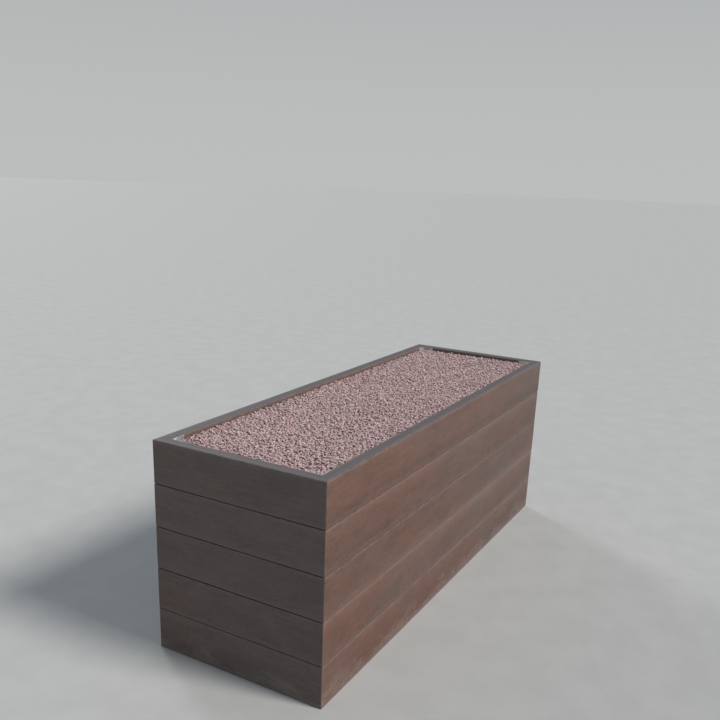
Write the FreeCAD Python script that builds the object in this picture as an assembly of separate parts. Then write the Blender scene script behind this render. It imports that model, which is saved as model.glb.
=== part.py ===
import FreeCAD, Part
import math
import os

from FreeCAD import Rotation, Vector

# Rectangular street planter: mitred walls of thick composite boards, screwed from the inside to
# galvanised steel angles, on a slatted floor, filled with drainage stone, soil and a gravel mulch.
# Millimetres. X runs along the length, Y across the width, Z up. The origin is the middle of the
# underside, at ground level. The front wall faces -Y and the left end faces -X.

# Overall size
LENGTH = 1800.0
WIDTH = 600.0

# Wall boards, laid in level courses
COURSES = 5
BOARD_HIGH = 137.0
BOARD_THICK = 40.0
COURSE_GAP = 1.25
ARRIS_ROUND = 3.0
RIM_ROUND = 4.5
CORNER_ROUND = 3.0
MITRE_GAP = 0.6

# Tongue on the top edge of each board, and its groove in the board above
TONGUE_THICK = 12.0
TONGUE_HIGH = 9.0
TONGUE_ROUND = 2.0
TONGUE_CLEAR = 0.5

# Galvanised equal angle, used for the corner posts and the uprights between them
ANGLE_LEG = 50.0
ANGLE_THICK = 5.0
ANGLE_ROOT_ROUND = 6.0
ANGLE_TOE_ROUND = 3.0
ANGLE_HEEL_ROUND = 0.8
ANGLE_GAUGE = 28.0
POST_FOOT_CLEAR = 3.0
POST_RIM_DROP = 2.0
UPRIGHT_SPACING = 600.0
UPRIGHT_COVER = 6.0

# Flat bar ties that hold the long walls together
TIE_HIGH = 40.0
TIE_THICK = 5.0
TIE_END_CLEAR = 8.0
TIE_CENTRE_Z = 430.0
TIE_BOLT_INSET = 30.0

# Floor: bearers on the ground, boards laid across them with open drainage gaps
BEARER_SIDE = 40.0
BEARER_ROUND = 2.0
BEARER_END_CLEAR = 0.3
FLOOR_BOARDS = 12
FLOOR_THICK = 27.0
FLOOR_GAP = 8.0
FLOOR_WALL_CLEAR = 8.0
FLOOR_ROUND = 2.0

# Filling, from the floor up. The soil takes what is left between the drainage and the mulch.
DRAINAGE_DEEP = 80.0
FLEECE_THICK = 2.0
MULCH_DEEP = 40.0
MULCH_DROP = 10.0
FILL_CLEAR = 0.3

# Coach screws that hold the wall boards to the steel
COACH_DIAMETER = 8.0
COACH_LONG = 35.0
COACH_HEX = 13.0
COACH_HEAD_HIGH = 5.5
COACH_FLANGE_DIAMETER = 17.0
COACH_FLANGE_THICK = 1.5

# Countersunk screws of the floor, and the longer ones that fix the side bearers to the walls
FLOOR_SCREW_DIAMETER = 5.0
FLOOR_SCREW_LONG = 55.0
BEARER_SCREW_LONG = 62.0
COUNTERSINK_DIAMETER = 10.0
COUNTERSINK_DEEP = 3.0
BEARER_SCREWS = 4

# Tie bolts
BOLT_DIAMETER = 10.0
BOLT_HEX = 16.0
BOLT_HEAD_HIGH = 6.4
NUT_HIGH = 8.0
NUT_CHAMFER = 1.0
WASHER_DIAMETER = 20.0
WASHER_THICK = 2.0
BOLT_STAND_OUT = 4.0

# Clearances round a screw or bolt: its radius plus one of these
PILOT_CLEAR = 0.1
HOLE_CLEAR = 0.5
SCREW_TIP_CLEAR = 1.0

HEIGHT = COURSES * BOARD_HIGH + (COURSES - 1) * COURSE_GAP
COURSE_PITCH = BOARD_HIGH + COURSE_GAP
INNER_LENGTH = LENGTH - 2 * BOARD_THICK
INNER_WIDTH = WIDTH - 2 * BOARD_THICK
FLOOR_TOP = BEARER_SIDE + FLOOR_THICK
FLEECE_Z = FLOOR_TOP + DRAINAGE_DEEP
SOIL_Z = FLEECE_Z + FLEECE_THICK
MULCH_TOP = HEIGHT - MULCH_DROP
MULCH_Z = MULCH_TOP - MULCH_DEEP
UPRIGHT_TOP = MULCH_Z - UPRIGHT_COVER

X_AXIS = Vector(1, 0, 0)
Y_AXIS = Vector(0, 1, 0)
Z_AXIS = Vector(0, 0, 1)
ORIGIN = Vector(0, 0, 0)

# Each wall is drawn as the front one and turned about Z: name, turn, outside run, half of the depth
WALLS = (
    ("front", 0, LENGTH, WIDTH / 2),
    ("right_end", 90, WIDTH, LENGTH / 2),
    ("back", 180, LENGTH, WIDTH / 2),
    ("left_end", 270, WIDTH, LENGTH / 2),
)

# Corner posts: name, side along X, side along Y, turn that points both legs inwards
POSTS = (
    ("front_left", -1, -1, 0),
    ("front_right", 1, -1, 90),
    ("back_right", 1, 1, 180),
    ("back_left", -1, 1, 270),
)

# Uprights between them, with one leg flat on the wall and pointing to the nearer end
UPRIGHTS = (
    ("front_right", 1, -1, 0),
    ("front_left", -1, -1, 90),
    ("back_left", -1, 1, 180),
    ("back_right", 1, 1, 270),
)


def save(name, shape):
    """Write one sub-part to its STEP file."""
    shape.exportStep("parts/" + name + ".step")
    print(name, len(shape.Solids), "solids", round(shape.Volume / 1e6, 4), "dm3")


def turned(shape, degrees):
    """The shape turned about the Z axis of the planter."""
    copy = shape.copy()
    copy.rotate(ORIGIN, Z_AXIS, degrees)
    return copy


def rounded_face(corners, origin, across, up):
    """Flat face from (a, b, radius) corners in order, at origin + a * across + b * up."""
    count = len(corners)
    points = [origin + across * a + up * b for a, b, _ in corners]
    starts = []
    ends = []
    arcs = []
    for index, (_, _, radius) in enumerate(corners):
        corner = points[index]
        back = (points[index - 1] - corner).normalize()
        ahead = (points[(index + 1) % count] - corner).normalize()
        half = back.getAngle(ahead) / 2
        reach = radius / math.tan(half)
        starts.append(corner + back * reach)
        ends.append(corner + ahead * reach)
        if radius > 0:
            to_centre = (back + ahead).normalize()
            middle = corner + to_centre * (radius / math.sin(half) - radius)
            arcs.append(Part.Arc(starts[-1], middle, ends[-1]).toShape())
        else:
            arcs.append(None)
    edges = []
    for index in range(count):
        if arcs[index] is not None:
            edges.append(arcs[index])
        edges.append(Part.makeLine(ends[index], starts[(index + 1) % count]))
    return Part.Face(Part.Wire(edges))


def block(low, high):
    """Plain box between two opposite corners."""
    size = high - low
    return Part.makeBox(size.x, size.y, size.z, low)


def rounded_bar(long, wide, high, radius, centre, along):
    """Straight bar with its four long edges rounded; along is X_AXIS or Y_AXIS."""
    across = Z_AXIS.cross(along)
    corner = centre - along * (long / 2) - across * (wide / 2) - Z_AXIS * (high / 2)
    outline = [(0, 0, radius), (wide, 0, radius), (wide, high, radius), (0, high, radius)]
    return rounded_face(outline, corner, across, Z_AXIS).extrude(along * long)


def hexagon(across_flats, high, base, direction):
    """Hexagonal prism on a base point."""
    radius = across_flats / math.sqrt(3)
    points = []
    for step in range(7):
        angle = math.radians(60 * step)
        points.append(Vector(radius * math.cos(angle), radius * math.sin(angle), 0))
    prism = Part.Face(Part.makePolygon(points)).extrude(Vector(0, 0, high))
    prism.Placement = FreeCAD.Placement(base, Rotation(Z_AXIS, direction))
    return prism


def drilled(shape, holes):
    """The shape with a list of cylinders cut out of it."""
    if not holes:
        return shape
    return shape.cut(holes)


# ---- fixings between the wall boards and the steel ----

def course_z(course):
    """Height of a course's lower edge; the lowest course is 0."""
    return course * COURSE_PITCH


def fixing_z(course):
    """Height of a course's screws: the middle of what stands above the floor and beside the uprights."""
    low = max(course_z(course), FLOOR_TOP)
    high = min(course_z(course) + BOARD_HIGH, UPRIGHT_TOP)
    return (low + high) / 2


def fixing_runs(run):
    """Distances along a wall at which its screws stand, measured from its middle."""
    post = run / 2 - BOARD_THICK - ANGLE_GAUGE
    if run < LENGTH:
        return (-post, post)
    upright = UPRIGHT_SPACING / 2 + ANGLE_GAUGE
    return (-post, -upright, upright, post)


def wall_fixings(turn, run, reach):
    """Places (point on the inner face, outward direction) of all screws of one wall."""
    places = []
    for course in range(COURSES):
        for along in fixing_runs(run):
            point = Vector(along, BOARD_THICK - reach, fixing_z(course))
            rotation = Rotation(Z_AXIS, turn)
            places.append((rotation.multVec(point), rotation.multVec(-Y_AXIS)))
    return places


def all_fixings():
    """The screw places of the four walls together."""
    places = []
    for _, turn, run, reach in WALLS:
        places.extend(wall_fixings(turn, run, reach))
    return places


def steel_holes(places):
    """Clearance holes through the steel at the given screw places."""
    radius = COACH_DIAMETER / 2 + HOLE_CLEAR
    long = 3 * ANGLE_THICK
    return [Part.makeCylinder(radius, long, point - way * 2 * ANGLE_THICK, way) for point, way in places]


def pilot_holes(places):
    """Blind pilot holes in the boards at the given screw places."""
    radius = COACH_DIAMETER / 2 + PILOT_CLEAR
    deep = COACH_LONG - ANGLE_THICK + SCREW_TIP_CLEAR
    return [Part.makeCylinder(radius, deep, point, way) for point, way in places]


def coach_screw(point, way):
    """Hexagon head with a flange, bearing on the steel, and its shank into the board."""
    seat = point - way * ANGLE_THICK
    flange_top = seat - way * COACH_FLANGE_THICK
    shank = Part.makeCylinder(COACH_DIAMETER / 2, COACH_LONG, seat, way)
    flange = Part.makeCylinder(COACH_FLANGE_DIAMETER / 2, COACH_FLANGE_THICK, flange_top, way)
    head = hexagon(COACH_HEX, COACH_HEAD_HIGH, flange_top, -way)
    return shank.fuse([flange, head]).removeSplitter()


# ---- walls ----

def board_outline(course):
    """Corners of a board's cross-section: across from the outer face, up from the lower edge."""
    top = course == COURSES - 1
    upper = RIM_ROUND if top else ARRIS_ROUND
    middle = BOARD_THICK / 2
    half_tongue = TONGUE_THICK / 2
    half_groove = half_tongue + TONGUE_CLEAR
    groove_deep = TONGUE_HIGH - COURSE_GAP + TONGUE_CLEAR
    outline = [(0, 0, ARRIS_ROUND)]
    if course > 0:
        outline.append((middle - half_groove, 0, 0))
        outline.append((middle - half_groove, groove_deep, TONGUE_ROUND))
        outline.append((middle + half_groove, groove_deep, TONGUE_ROUND))
        outline.append((middle + half_groove, 0, 0))
    outline.append((BOARD_THICK, 0, ARRIS_ROUND))
    outline.append((BOARD_THICK, BOARD_HIGH, upper))
    if not top:
        outline.append((middle + half_tongue, BOARD_HIGH, 0))
        outline.append((middle + half_tongue, BOARD_HIGH + TONGUE_HIGH, TONGUE_ROUND))
        outline.append((middle - half_tongue, BOARD_HIGH + TONGUE_HIGH, TONGUE_ROUND))
        outline.append((middle - half_tongue, BOARD_HIGH, 0))
    outline.append((0, BOARD_HIGH, upper))
    return outline


def wall_plan(run, reach):
    """Solid of one wall seen from above: mitred at both ends, with the outer corners eased."""
    back_off = MITRE_GAP / math.sqrt(2)
    outer = run / 2 - back_off
    inner = outer - BOARD_THICK
    points = [
        (-outer, 0, 0),
        (outer, 0, 0),
        (inner, BOARD_THICK, 0),
        (-inner, BOARD_THICK, 0),
    ]
    mitred = rounded_face(points, Vector(0, -reach, 0), X_AXIS, Y_AXIS).extrude(Vector(0, 0, HEIGHT))
    half = run / 2
    depth = 2 * reach
    eased_points = [
        (-half, 0, CORNER_ROUND),
        (half, 0, CORNER_ROUND),
        (half, depth, CORNER_ROUND),
        (-half, depth, CORNER_ROUND),
    ]
    eased = rounded_face(eased_points, Vector(0, -reach, 0), X_AXIS, Y_AXIS)
    return mitred.common(eased.extrude(Vector(0, 0, HEIGHT)))


def wall_board(course, turn, run, reach):
    """One board of one wall, in its place."""
    origin = Vector(-run / 2, -reach, course_z(course))
    bar = rounded_face(board_outline(course), origin, Y_AXIS, Z_AXIS).extrude(X_AXIS * run)
    board = turned(bar.common(wall_plan(run, reach)), turn)
    height = fixing_z(course)
    places = [place for place in wall_fixings(turn, run, reach) if abs(place[0].z - height) < 1]
    holes = pilot_holes(places)
    if course == 0 and run == LENGTH:
        holes += screw_holes(bearer_screw_places(), BEARER_SCREW_LONG)
    return drilled(board, holes)


def make_walls():
    """Every wall board, and each wall's screws."""
    for wall, turn, run, reach in WALLS:
        for course in range(COURSES):
            save(wall + "_board_" + str(course + 1), wall_board(course, turn, run, reach))
        screws = [coach_screw(point, way) for point, way in wall_fixings(turn, run, reach)]
        save(wall + "_screws", Part.makeCompound(screws))


# ---- steel ----

def angle_bar(heel, turn, low, high):
    """Length of equal angle standing on its end, legs along X and Y before it is turned."""
    outline = [
        (0, 0, ANGLE_HEEL_ROUND),
        (ANGLE_LEG, 0, 0),
        (ANGLE_LEG, ANGLE_THICK, ANGLE_TOE_ROUND),
        (ANGLE_THICK, ANGLE_THICK, ANGLE_ROOT_ROUND),
        (ANGLE_THICK, ANGLE_LEG, ANGLE_TOE_ROUND),
        (0, ANGLE_LEG, 0),
    ]
    bar = turned(rounded_face(outline, ORIGIN, X_AXIS, Y_AXIS).extrude(Vector(0, 0, high - low)), turn)
    bar.translate(Vector(heel.x, heel.y, low))
    return bar


def post_heel(side_x, side_y):
    """Plan position of a corner post's heel."""
    return Vector(side_x * INNER_LENGTH / 2, side_y * INNER_WIDTH / 2, 0)


def upright_heel(side_x, side_y):
    """Plan position of an upright's heel."""
    return Vector(side_x * UPRIGHT_SPACING / 2, side_y * INNER_WIDTH / 2, 0)


def tie_bolt_places():
    """Middle of the joint face between tie and upright at each tie bolt, and the way to the tie."""
    places = []
    for _, side_x, side_y, _ in UPRIGHTS:
        heel = upright_heel(side_x, side_y)
        inset = heel.y - side_y * TIE_BOLT_INSET
        places.append((Vector(heel.x, inset, TIE_CENTRE_Z), Vector(-side_x, 0, 0)))
    return places


def tie_bolt_holes():
    """Clearance holes for the tie bolts, through tie and upright."""
    radius = BOLT_DIAMETER / 2 + HOLE_CLEAR
    reach = ANGLE_THICK + TIE_THICK
    places = tie_bolt_places()
    return [Part.makeCylinder(radius, 2 * reach, point - way * reach, way) for point, way in places]


def make_posts():
    """Four corner posts, drilled for the wall screws."""
    holes = steel_holes(all_fixings())
    for name, side_x, side_y, turn in POSTS:
        heel = post_heel(side_x, side_y)
        bar = angle_bar(heel, turn, POST_FOOT_CLEAR, HEIGHT - POST_RIM_DROP)
        save("corner_post_" + name, drilled(bar, holes))


def make_uprights():
    """Four uprights, standing on the floor boards and ending under the mulch."""
    holes = steel_holes(all_fixings()) + tie_bolt_holes()
    for name, side_x, side_y, turn in UPRIGHTS:
        bar = angle_bar(upright_heel(side_x, side_y), turn, FLOOR_TOP, UPRIGHT_TOP)
        save("upright_" + name, drilled(bar, holes))


def tie_box(side, clear):
    """Envelope of a tie bar, grown by a clearance; side is -1 for the left tie."""
    half_long = INNER_WIDTH / 2 - TIE_END_CLEAR + clear
    near = UPRIGHT_SPACING / 2 + clear
    far = UPRIGHT_SPACING / 2 - TIE_THICK - clear
    half_high = TIE_HIGH / 2 + clear
    low = Vector(min(side * near, side * far), -half_long, TIE_CENTRE_Z - half_high)
    high = Vector(max(side * near, side * far), half_long, TIE_CENTRE_Z + half_high)
    return block(low, high)


def tie_bolt(point, way):
    """Hexagon bolt with its head on the upright's side."""
    seat = point - way * (ANGLE_THICK + WASHER_THICK)
    grip = ANGLE_THICK + TIE_THICK + 2 * WASHER_THICK
    shank = Part.makeCylinder(BOLT_DIAMETER / 2, grip + NUT_HIGH + BOLT_STAND_OUT, seat, way)
    head = hexagon(BOLT_HEX, BOLT_HEAD_HIGH, seat, -way)
    return shank.fuse(head)


def tie_nut(point, way):
    """Hexagon nut on the tie's side, its outer corners chamfered, bored to clear the bolt."""
    seat = point + way * (TIE_THICK + WASHER_THICK)
    nut = hexagon(BOLT_HEX, NUT_HIGH, seat, way)
    corner_radius = BOLT_HEX / math.sqrt(3)
    full = Part.makeCylinder(corner_radius, NUT_HIGH - NUT_CHAMFER, seat, way)
    crown_seat = seat + way * (NUT_HIGH - NUT_CHAMFER)
    crown = Part.makeCone(corner_radius, BOLT_HEX / 2, NUT_CHAMFER, crown_seat, way)
    bore = Part.makeCylinder(BOLT_DIAMETER / 2 + PILOT_CLEAR, NUT_HIGH, seat, way)
    return nut.common(full.fuse(crown)).cut(bore)


def washer(seat, way):
    """Flat washer lying on a seat."""
    disc = Part.makeCylinder(WASHER_DIAMETER / 2, WASHER_THICK, seat, way)
    return disc.cut(Part.makeCylinder(BOLT_DIAMETER / 2 + HOLE_CLEAR, WASHER_THICK, seat, way))


def make_ties():
    """Two tie bars, and the bolts, nuts and washers that fasten them to the uprights."""
    for name, side in (("left", -1), ("right", 1)):
        save("cross_tie_" + name, drilled(tie_box(side, 0), tie_bolt_holes()))
    places = tie_bolt_places()
    save("tie_bolts", Part.makeCompound([tie_bolt(point, way) for point, way in places]))
    save("tie_nuts", Part.makeCompound([tie_nut(point, way) for point, way in places]))
    washers = []
    for point, way in places:
        washers.append(washer(point - way * ANGLE_THICK, -way))
        washers.append(washer(point + way * TIE_THICK, way))
    save("tie_washers", Part.makeCompound(washers))


# ---- floor ----

def bearer_runs():
    """Each bearer: name, its middle across the width, and its length."""
    side_y = (INNER_WIDTH - BEARER_SIDE) / 2
    side_long = INNER_LENGTH - 2 * (ANGLE_LEG + POST_FOOT_CLEAR)
    middle_long = INNER_LENGTH - 2 * BEARER_END_CLEAR
    return (("front", -side_y, side_long), ("middle", 0, middle_long), ("back", side_y, side_long))


def floor_board_width():
    """Width that shares the floor's length evenly between the boards and their gaps."""
    span = INNER_LENGTH - 2 * FLOOR_WALL_CLEAR
    return (span - (FLOOR_BOARDS - 1) * FLOOR_GAP) / FLOOR_BOARDS


def floor_board_xs():
    """Middle of each floor board along the length."""
    wide = floor_board_width()
    first = FLOOR_WALL_CLEAR - INNER_LENGTH / 2 + wide / 2
    return [first + index * (wide + FLOOR_GAP) for index in range(FLOOR_BOARDS)]


def floor_screw_places():
    """Countersunk screws down through each floor board into each bearer."""
    places = []
    for x in floor_board_xs():
        for _, y, _ in bearer_runs():
            places.append((Vector(x, y, FLOOR_TOP), -Z_AXIS))
    return places


def bearer_screw_places():
    """Countersunk screws through the side bearers into the lowest wall boards, under the floor's gaps."""
    boards = floor_board_xs()
    gaps = [(left + right) / 2 for left, right in zip(boards, boards[1:])]
    inner_face = INNER_WIDTH / 2 - BEARER_SIDE
    places = []
    for index in range(BEARER_SCREWS):
        x = gaps[round(index * (len(gaps) - 1) / (BEARER_SCREWS - 1))]
        for side in (-1, 1):
            places.append((Vector(x, side * inner_face, BEARER_SIDE / 2), Vector(0, side, 0)))
    return places


def countersunk(point, way, long, clear):
    """Countersunk screw with its head flush at the point, or its hole where clear is above zero."""
    radius = FLOOR_SCREW_DIAMETER / 2 + clear
    head = Part.makeCone(COUNTERSINK_DIAMETER / 2 + clear, radius, COUNTERSINK_DEEP, point, way)
    tip = SCREW_TIP_CLEAR if clear > 0 else 0
    shank = Part.makeCylinder(radius, long + tip, point, way)
    return head.fuse(shank)


def screw_holes(places, long):
    """Holes of a set of countersunk screws."""
    return [countersunk(point, way, long, PILOT_CLEAR) for point, way in places]


def make_floor():
    """Bearers, floor boards and their screws."""
    floor_holes = screw_holes(floor_screw_places(), FLOOR_SCREW_LONG)
    wall_holes = screw_holes(bearer_screw_places(), BEARER_SCREW_LONG)
    for name, y, long in bearer_runs():
        middle = Vector(0, y, BEARER_SIDE / 2)
        bar = rounded_bar(long, BEARER_SIDE, BEARER_SIDE, BEARER_ROUND, middle, X_AXIS)
        save("bearer_" + name, drilled(bar, floor_holes + wall_holes))
    wide = floor_board_width()
    long = INNER_WIDTH - 2 * FLOOR_WALL_CLEAR
    for index, x in enumerate(floor_board_xs()):
        middle = Vector(x, 0, BEARER_SIDE + FLOOR_THICK / 2)
        bar = rounded_bar(long, wide, FLOOR_THICK, FLOOR_ROUND, middle, Y_AXIS)
        save("floor_board_" + str(index + 1).zfill(2), drilled(bar, floor_holes))
    for name, places, long in (
        ("floor_screws", floor_screw_places(), FLOOR_SCREW_LONG),
        ("bearer_screws", bearer_screw_places(), BEARER_SCREW_LONG),
    ):
        screws = [countersunk(point, way, long, 0) for point, way in places]
        save(name, Part.makeCompound(screws))


# ---- filling ----

def angle_room(heel, turn):
    """Plan prism that the filling leaves free round a standing angle."""
    low = -FILL_CLEAR
    leg = ANGLE_LEG + FILL_CLEAR
    flat = ANGLE_THICK + FILL_CLEAR
    root = flat + ANGLE_ROOT_ROUND
    steps = [(low, low), (leg, low), (leg, flat), (root, flat), (flat, root), (flat, leg), (low, leg)]
    points = [Vector(x, y, 0) for x, y in steps + steps[:1]]
    prism = turned(Part.Face(Part.makePolygon(points)).extrude(Vector(0, 0, HEIGHT)), turn)
    prism.translate(heel)
    return prism


def head_room(point, way):
    """Room in the soil for the head of one coach screw."""
    radius = COACH_FLANGE_DIAMETER / 2 + FILL_CLEAR
    deep = ANGLE_THICK + COACH_FLANGE_THICK + COACH_HEAD_HIGH + FILL_CLEAR
    return Part.makeCylinder(radius, deep, point, -way)


def fill_layer(low, high):
    """One layer of the filling: the inside of the box, less the steel and screw heads that stand in it."""
    half_x = INNER_LENGTH / 2 - FILL_CLEAR
    half_y = INNER_WIDTH / 2 - FILL_CLEAR
    layer = block(Vector(-half_x, -half_y, low), Vector(half_x, half_y, high))
    rooms = [angle_room(post_heel(x, y), turn) for _, x, y, turn in POSTS]
    if low < UPRIGHT_TOP:
        rooms += [angle_room(upright_heel(x, y), turn) for _, x, y, turn in UPRIGHTS]
    reach = COACH_FLANGE_DIAMETER / 2
    for point, way in all_fixings():
        if low - reach < point.z < high + reach:
            rooms.append(head_room(point, way))
    return layer.cut(rooms)


def tie_pocket(point, way):
    """Room in the soil for one tie bolt with its head, nut and washers."""
    radius = WASHER_DIAMETER / 2 + FILL_CLEAR
    head_side = ANGLE_THICK + WASHER_THICK + BOLT_HEAD_HIGH + FILL_CLEAR
    nut_side = TIE_THICK + WASHER_THICK + NUT_HIGH + BOLT_STAND_OUT + FILL_CLEAR
    return Part.makeCylinder(radius, head_side + nut_side, point - way * head_side, way)


def make_filling():
    """Drainage stone, filter fleece, soil and gravel mulch."""
    save("drainage_stone", fill_layer(FLOOR_TOP, FLEECE_Z))
    save("filter_fleece", fill_layer(FLEECE_Z, SOIL_Z))
    rooms = [tie_box(side, FILL_CLEAR) for side in (-1, 1)]
    rooms += [tie_pocket(point, way) for point, way in tie_bolt_places()]
    save("soil", fill_layer(SOIL_Z, MULCH_Z).cut(rooms))
    save("gravel_mulch", fill_layer(MULCH_Z, MULCH_TOP))


os.makedirs("parts", exist_ok=True)
make_walls()
make_posts()
make_uprights()
make_ties()
make_floor()
make_filling()
print("overall", LENGTH, WIDTH, HEIGHT)
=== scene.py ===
import logging
import math
from dataclasses import dataclass
from enum import Enum
from functools import reduce
from typing import ClassVar

import bmesh
import bpy
import numpy as np
from mathutils import Matrix, Vector


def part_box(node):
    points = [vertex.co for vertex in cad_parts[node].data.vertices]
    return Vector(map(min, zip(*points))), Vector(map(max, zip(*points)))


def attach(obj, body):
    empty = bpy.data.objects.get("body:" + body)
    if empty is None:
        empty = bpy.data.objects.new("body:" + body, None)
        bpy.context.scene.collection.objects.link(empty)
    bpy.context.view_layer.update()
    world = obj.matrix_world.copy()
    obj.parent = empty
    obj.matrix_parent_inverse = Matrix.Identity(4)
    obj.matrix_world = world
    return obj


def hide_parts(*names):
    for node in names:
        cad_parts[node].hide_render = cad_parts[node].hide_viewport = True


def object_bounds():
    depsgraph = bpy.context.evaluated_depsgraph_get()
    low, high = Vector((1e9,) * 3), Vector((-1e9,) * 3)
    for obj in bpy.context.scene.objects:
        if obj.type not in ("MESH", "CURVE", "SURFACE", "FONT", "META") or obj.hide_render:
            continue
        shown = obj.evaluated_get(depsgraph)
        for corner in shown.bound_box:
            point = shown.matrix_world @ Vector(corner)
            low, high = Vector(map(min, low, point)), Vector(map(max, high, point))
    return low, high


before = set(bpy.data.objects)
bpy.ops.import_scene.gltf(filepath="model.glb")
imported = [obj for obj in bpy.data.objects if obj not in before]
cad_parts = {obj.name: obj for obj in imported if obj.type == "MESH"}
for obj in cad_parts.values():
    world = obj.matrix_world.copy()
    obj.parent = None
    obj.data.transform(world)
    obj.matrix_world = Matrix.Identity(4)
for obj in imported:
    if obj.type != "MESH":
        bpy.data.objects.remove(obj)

CAD_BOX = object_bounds()
BODY = "root"
MM = 0.001
SKIN_MAP = "OFBake"  # the map that lays a piece's skin out flat
SHARP_EDGE = math.radians(38)
FULL_TURN = 2 * math.pi

LOG = logging.getLogger("planter")

Colour = tuple[float, float, float]
Socket = bpy.types.NodeSocket
Material = bpy.types.Material
Mesh = bpy.types.Mesh
Piece = bpy.types.Object
Outline = list[tuple[float, float]]


# ---------------------------------------------------------------- shader graphs


class Graph:
    """A material's node tree, with one short method for each kind of node the finishes use."""

    def __init__(self, name: str) -> None:
        """Start an empty material with an output and a Principled shader.

        Args:
            name: the material's name.
        """
        self.material = bpy.data.materials.new(name)
        self.material.use_nodes = True
        self.tree = self.material.node_tree
        self.tree.nodes.clear()
        output = self.tree.nodes.new("ShaderNodeOutputMaterial")
        self.shader = self.tree.nodes.new("ShaderNodeBsdfPrincipled")
        self.tree.links.new(self.shader.outputs[0], output.inputs["Surface"])

    def put(self, value: object, socket: Socket) -> None:
        """Feed a socket with another node's output, or set it to a constant.

        Args:
            value: an output socket, a number or a tuple.
            socket: the input to feed.
        """
        if isinstance(value, Socket):
            self.tree.links.new(value, socket)
        elif isinstance(value, tuple) and len(value) == 3 and socket.type == "RGBA":
            socket.default_value = (*value, 1.0)
        else:
            socket.default_value = value

    def node(self, kind: str, inputs: dict[object, object], output: object = 0, **options: object) -> Socket:
        """Add a node.

        Args:
            kind: its type, without the usual beginning.
            inputs: what feeds its sockets, by their names or numbers.
            output: the name or number of the output to return.
            options: its other settings.

        Returns:
            The output socket.
        """
        node = self.tree.nodes.new(f"ShaderNode{kind}")
        for name, value in options.items():
            setattr(node, name, value)
        for name, value in inputs.items():
            self.put(value, node.inputs[name])
        return node.outputs[output]

    def attribute(self, name: str, output: str) -> Socket:
        """Return the "Vector", "Color" or "Fac" output of a named attribute of the mesh."""
        return self.node("Attribute", {}, output, attribute_name=name)

    def place(self) -> Socket:
        """Return the surface point in the object's own metres."""
        return self.node("TexCoord", {}, "Object")

    def scaled(self, vector: Socket, scale: tuple[float, float, float]) -> Socket:
        """Return a coordinate stretched by a factor along each axis."""
        return self.node("Mapping", {"Scale": scale, "Vector": vector})

    def noise(
        self,
        vector: Socket,
        scale: float,
        detail: float = 3.0,
        roughness: float = 0.55,
        distortion: float = 0.0,
    ) -> Socket:
        """Return fractal noise of so many features per metre, mostly between 0.3 and 0.7."""
        amounts = {"Scale": scale, "Detail": detail, "Roughness": roughness, "Distortion": distortion}
        return self.node("TexNoise", {**amounts, "Vector": vector}, "Fac")

    def cells(self, vector: Socket, scale: float, output: str) -> Socket:
        """Return the "Color" or "Distance" of a pattern with so many cells per metre."""
        return self.node("TexVoronoi", {"Scale": scale, "Vector": vector}, output)

    def spread(
        self, value: Socket, low: float, high: float, to_low: float = 0.0, to_high: float = 1.0
    ) -> Socket:
        """Map the range low to high onto to_low to to_high, smoothly and clamped."""
        ends = {"From Min": low, "From Max": high, "To Min": to_low, "To Max": to_high}
        return self.node("MapRange", {**ends, "Value": value}, interpolation_type="SMOOTHSTEP")

    def swing(self, noise: Socket, to_low: float = 0.0, to_high: float = 1.0) -> Socket:
        """Map a noise's usual range, from 0.3 to 0.7, onto to_low to to_high."""
        return self.spread(noise, 0.3, 0.7, to_low, to_high)

    def maths(self, operation: str, first: object, second: object) -> Socket:
        """Return what a maths operation makes of two sockets or numbers."""
        return self.node("Math", {0: first, 1: second}, operation=operation)

    def total(self, *terms: object) -> Socket:
        """Return the sum of any number of sockets and numbers, added in order."""
        return reduce(lambda first, second: self.maths("ADD", first, second), terms)

    def blend(self, share: object, first: object, second: object, mode: str = "MIX") -> Socket:
        """Return a blend of two sockets or colours, with the given share of the second."""
        return self.node("Mix", {0: share, 6: first, 7: second}, 2, data_type="RGBA", blend_type=mode)

    def lit(self, colour: object, factor: Socket) -> Socket:
        """Return a colour, made lighter or darker by a factor."""
        return self.node("VectorMath", {0: colour, "Scale": factor}, operation="SCALE")

    def split(self, vector: Socket) -> tuple[Socket, ...]:
        """Return the three parts of a vector."""
        return tuple(self.node("SeparateXYZ", {0: vector}).node.outputs)

    def bump(self, height: Socket, depth: float, below: Socket | None = None) -> Socket:
        """Return the normal of a height from 0 to 1 that is depth metres high, on top of a normal below."""
        inputs = {"Strength": 1.0, "Distance": depth, "Height": height}
        return self.node("Bump", inputs if below is None else {**inputs, "Normal": below})

    def finish(
        self,
        colour: object,
        roughness: object,
        normal: object = None,
        metallic: float = 0.0,
        specular: float = 0.5,
    ) -> Material:
        """Connect the shader.

        Args:
            colour: base colour, a socket or a tuple.
            roughness: a socket or a number.
            normal: a bumped normal, or None.
            metallic: how metallic the surface is.
            specular: the shader's specular level.

        Returns:
            The material.
        """
        self.put(colour, self.shader.inputs["Base Color"])
        self.put(roughness, self.shader.inputs["Roughness"])
        self.shader.inputs["Metallic"].default_value = metallic
        self.shader.inputs["Specular IOR Level"].default_value = specular
        if normal is not None:
            self.put(normal, self.shader.inputs["Normal"])
        return self.material


# ---------------------------------------------------------------- finishes


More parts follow.
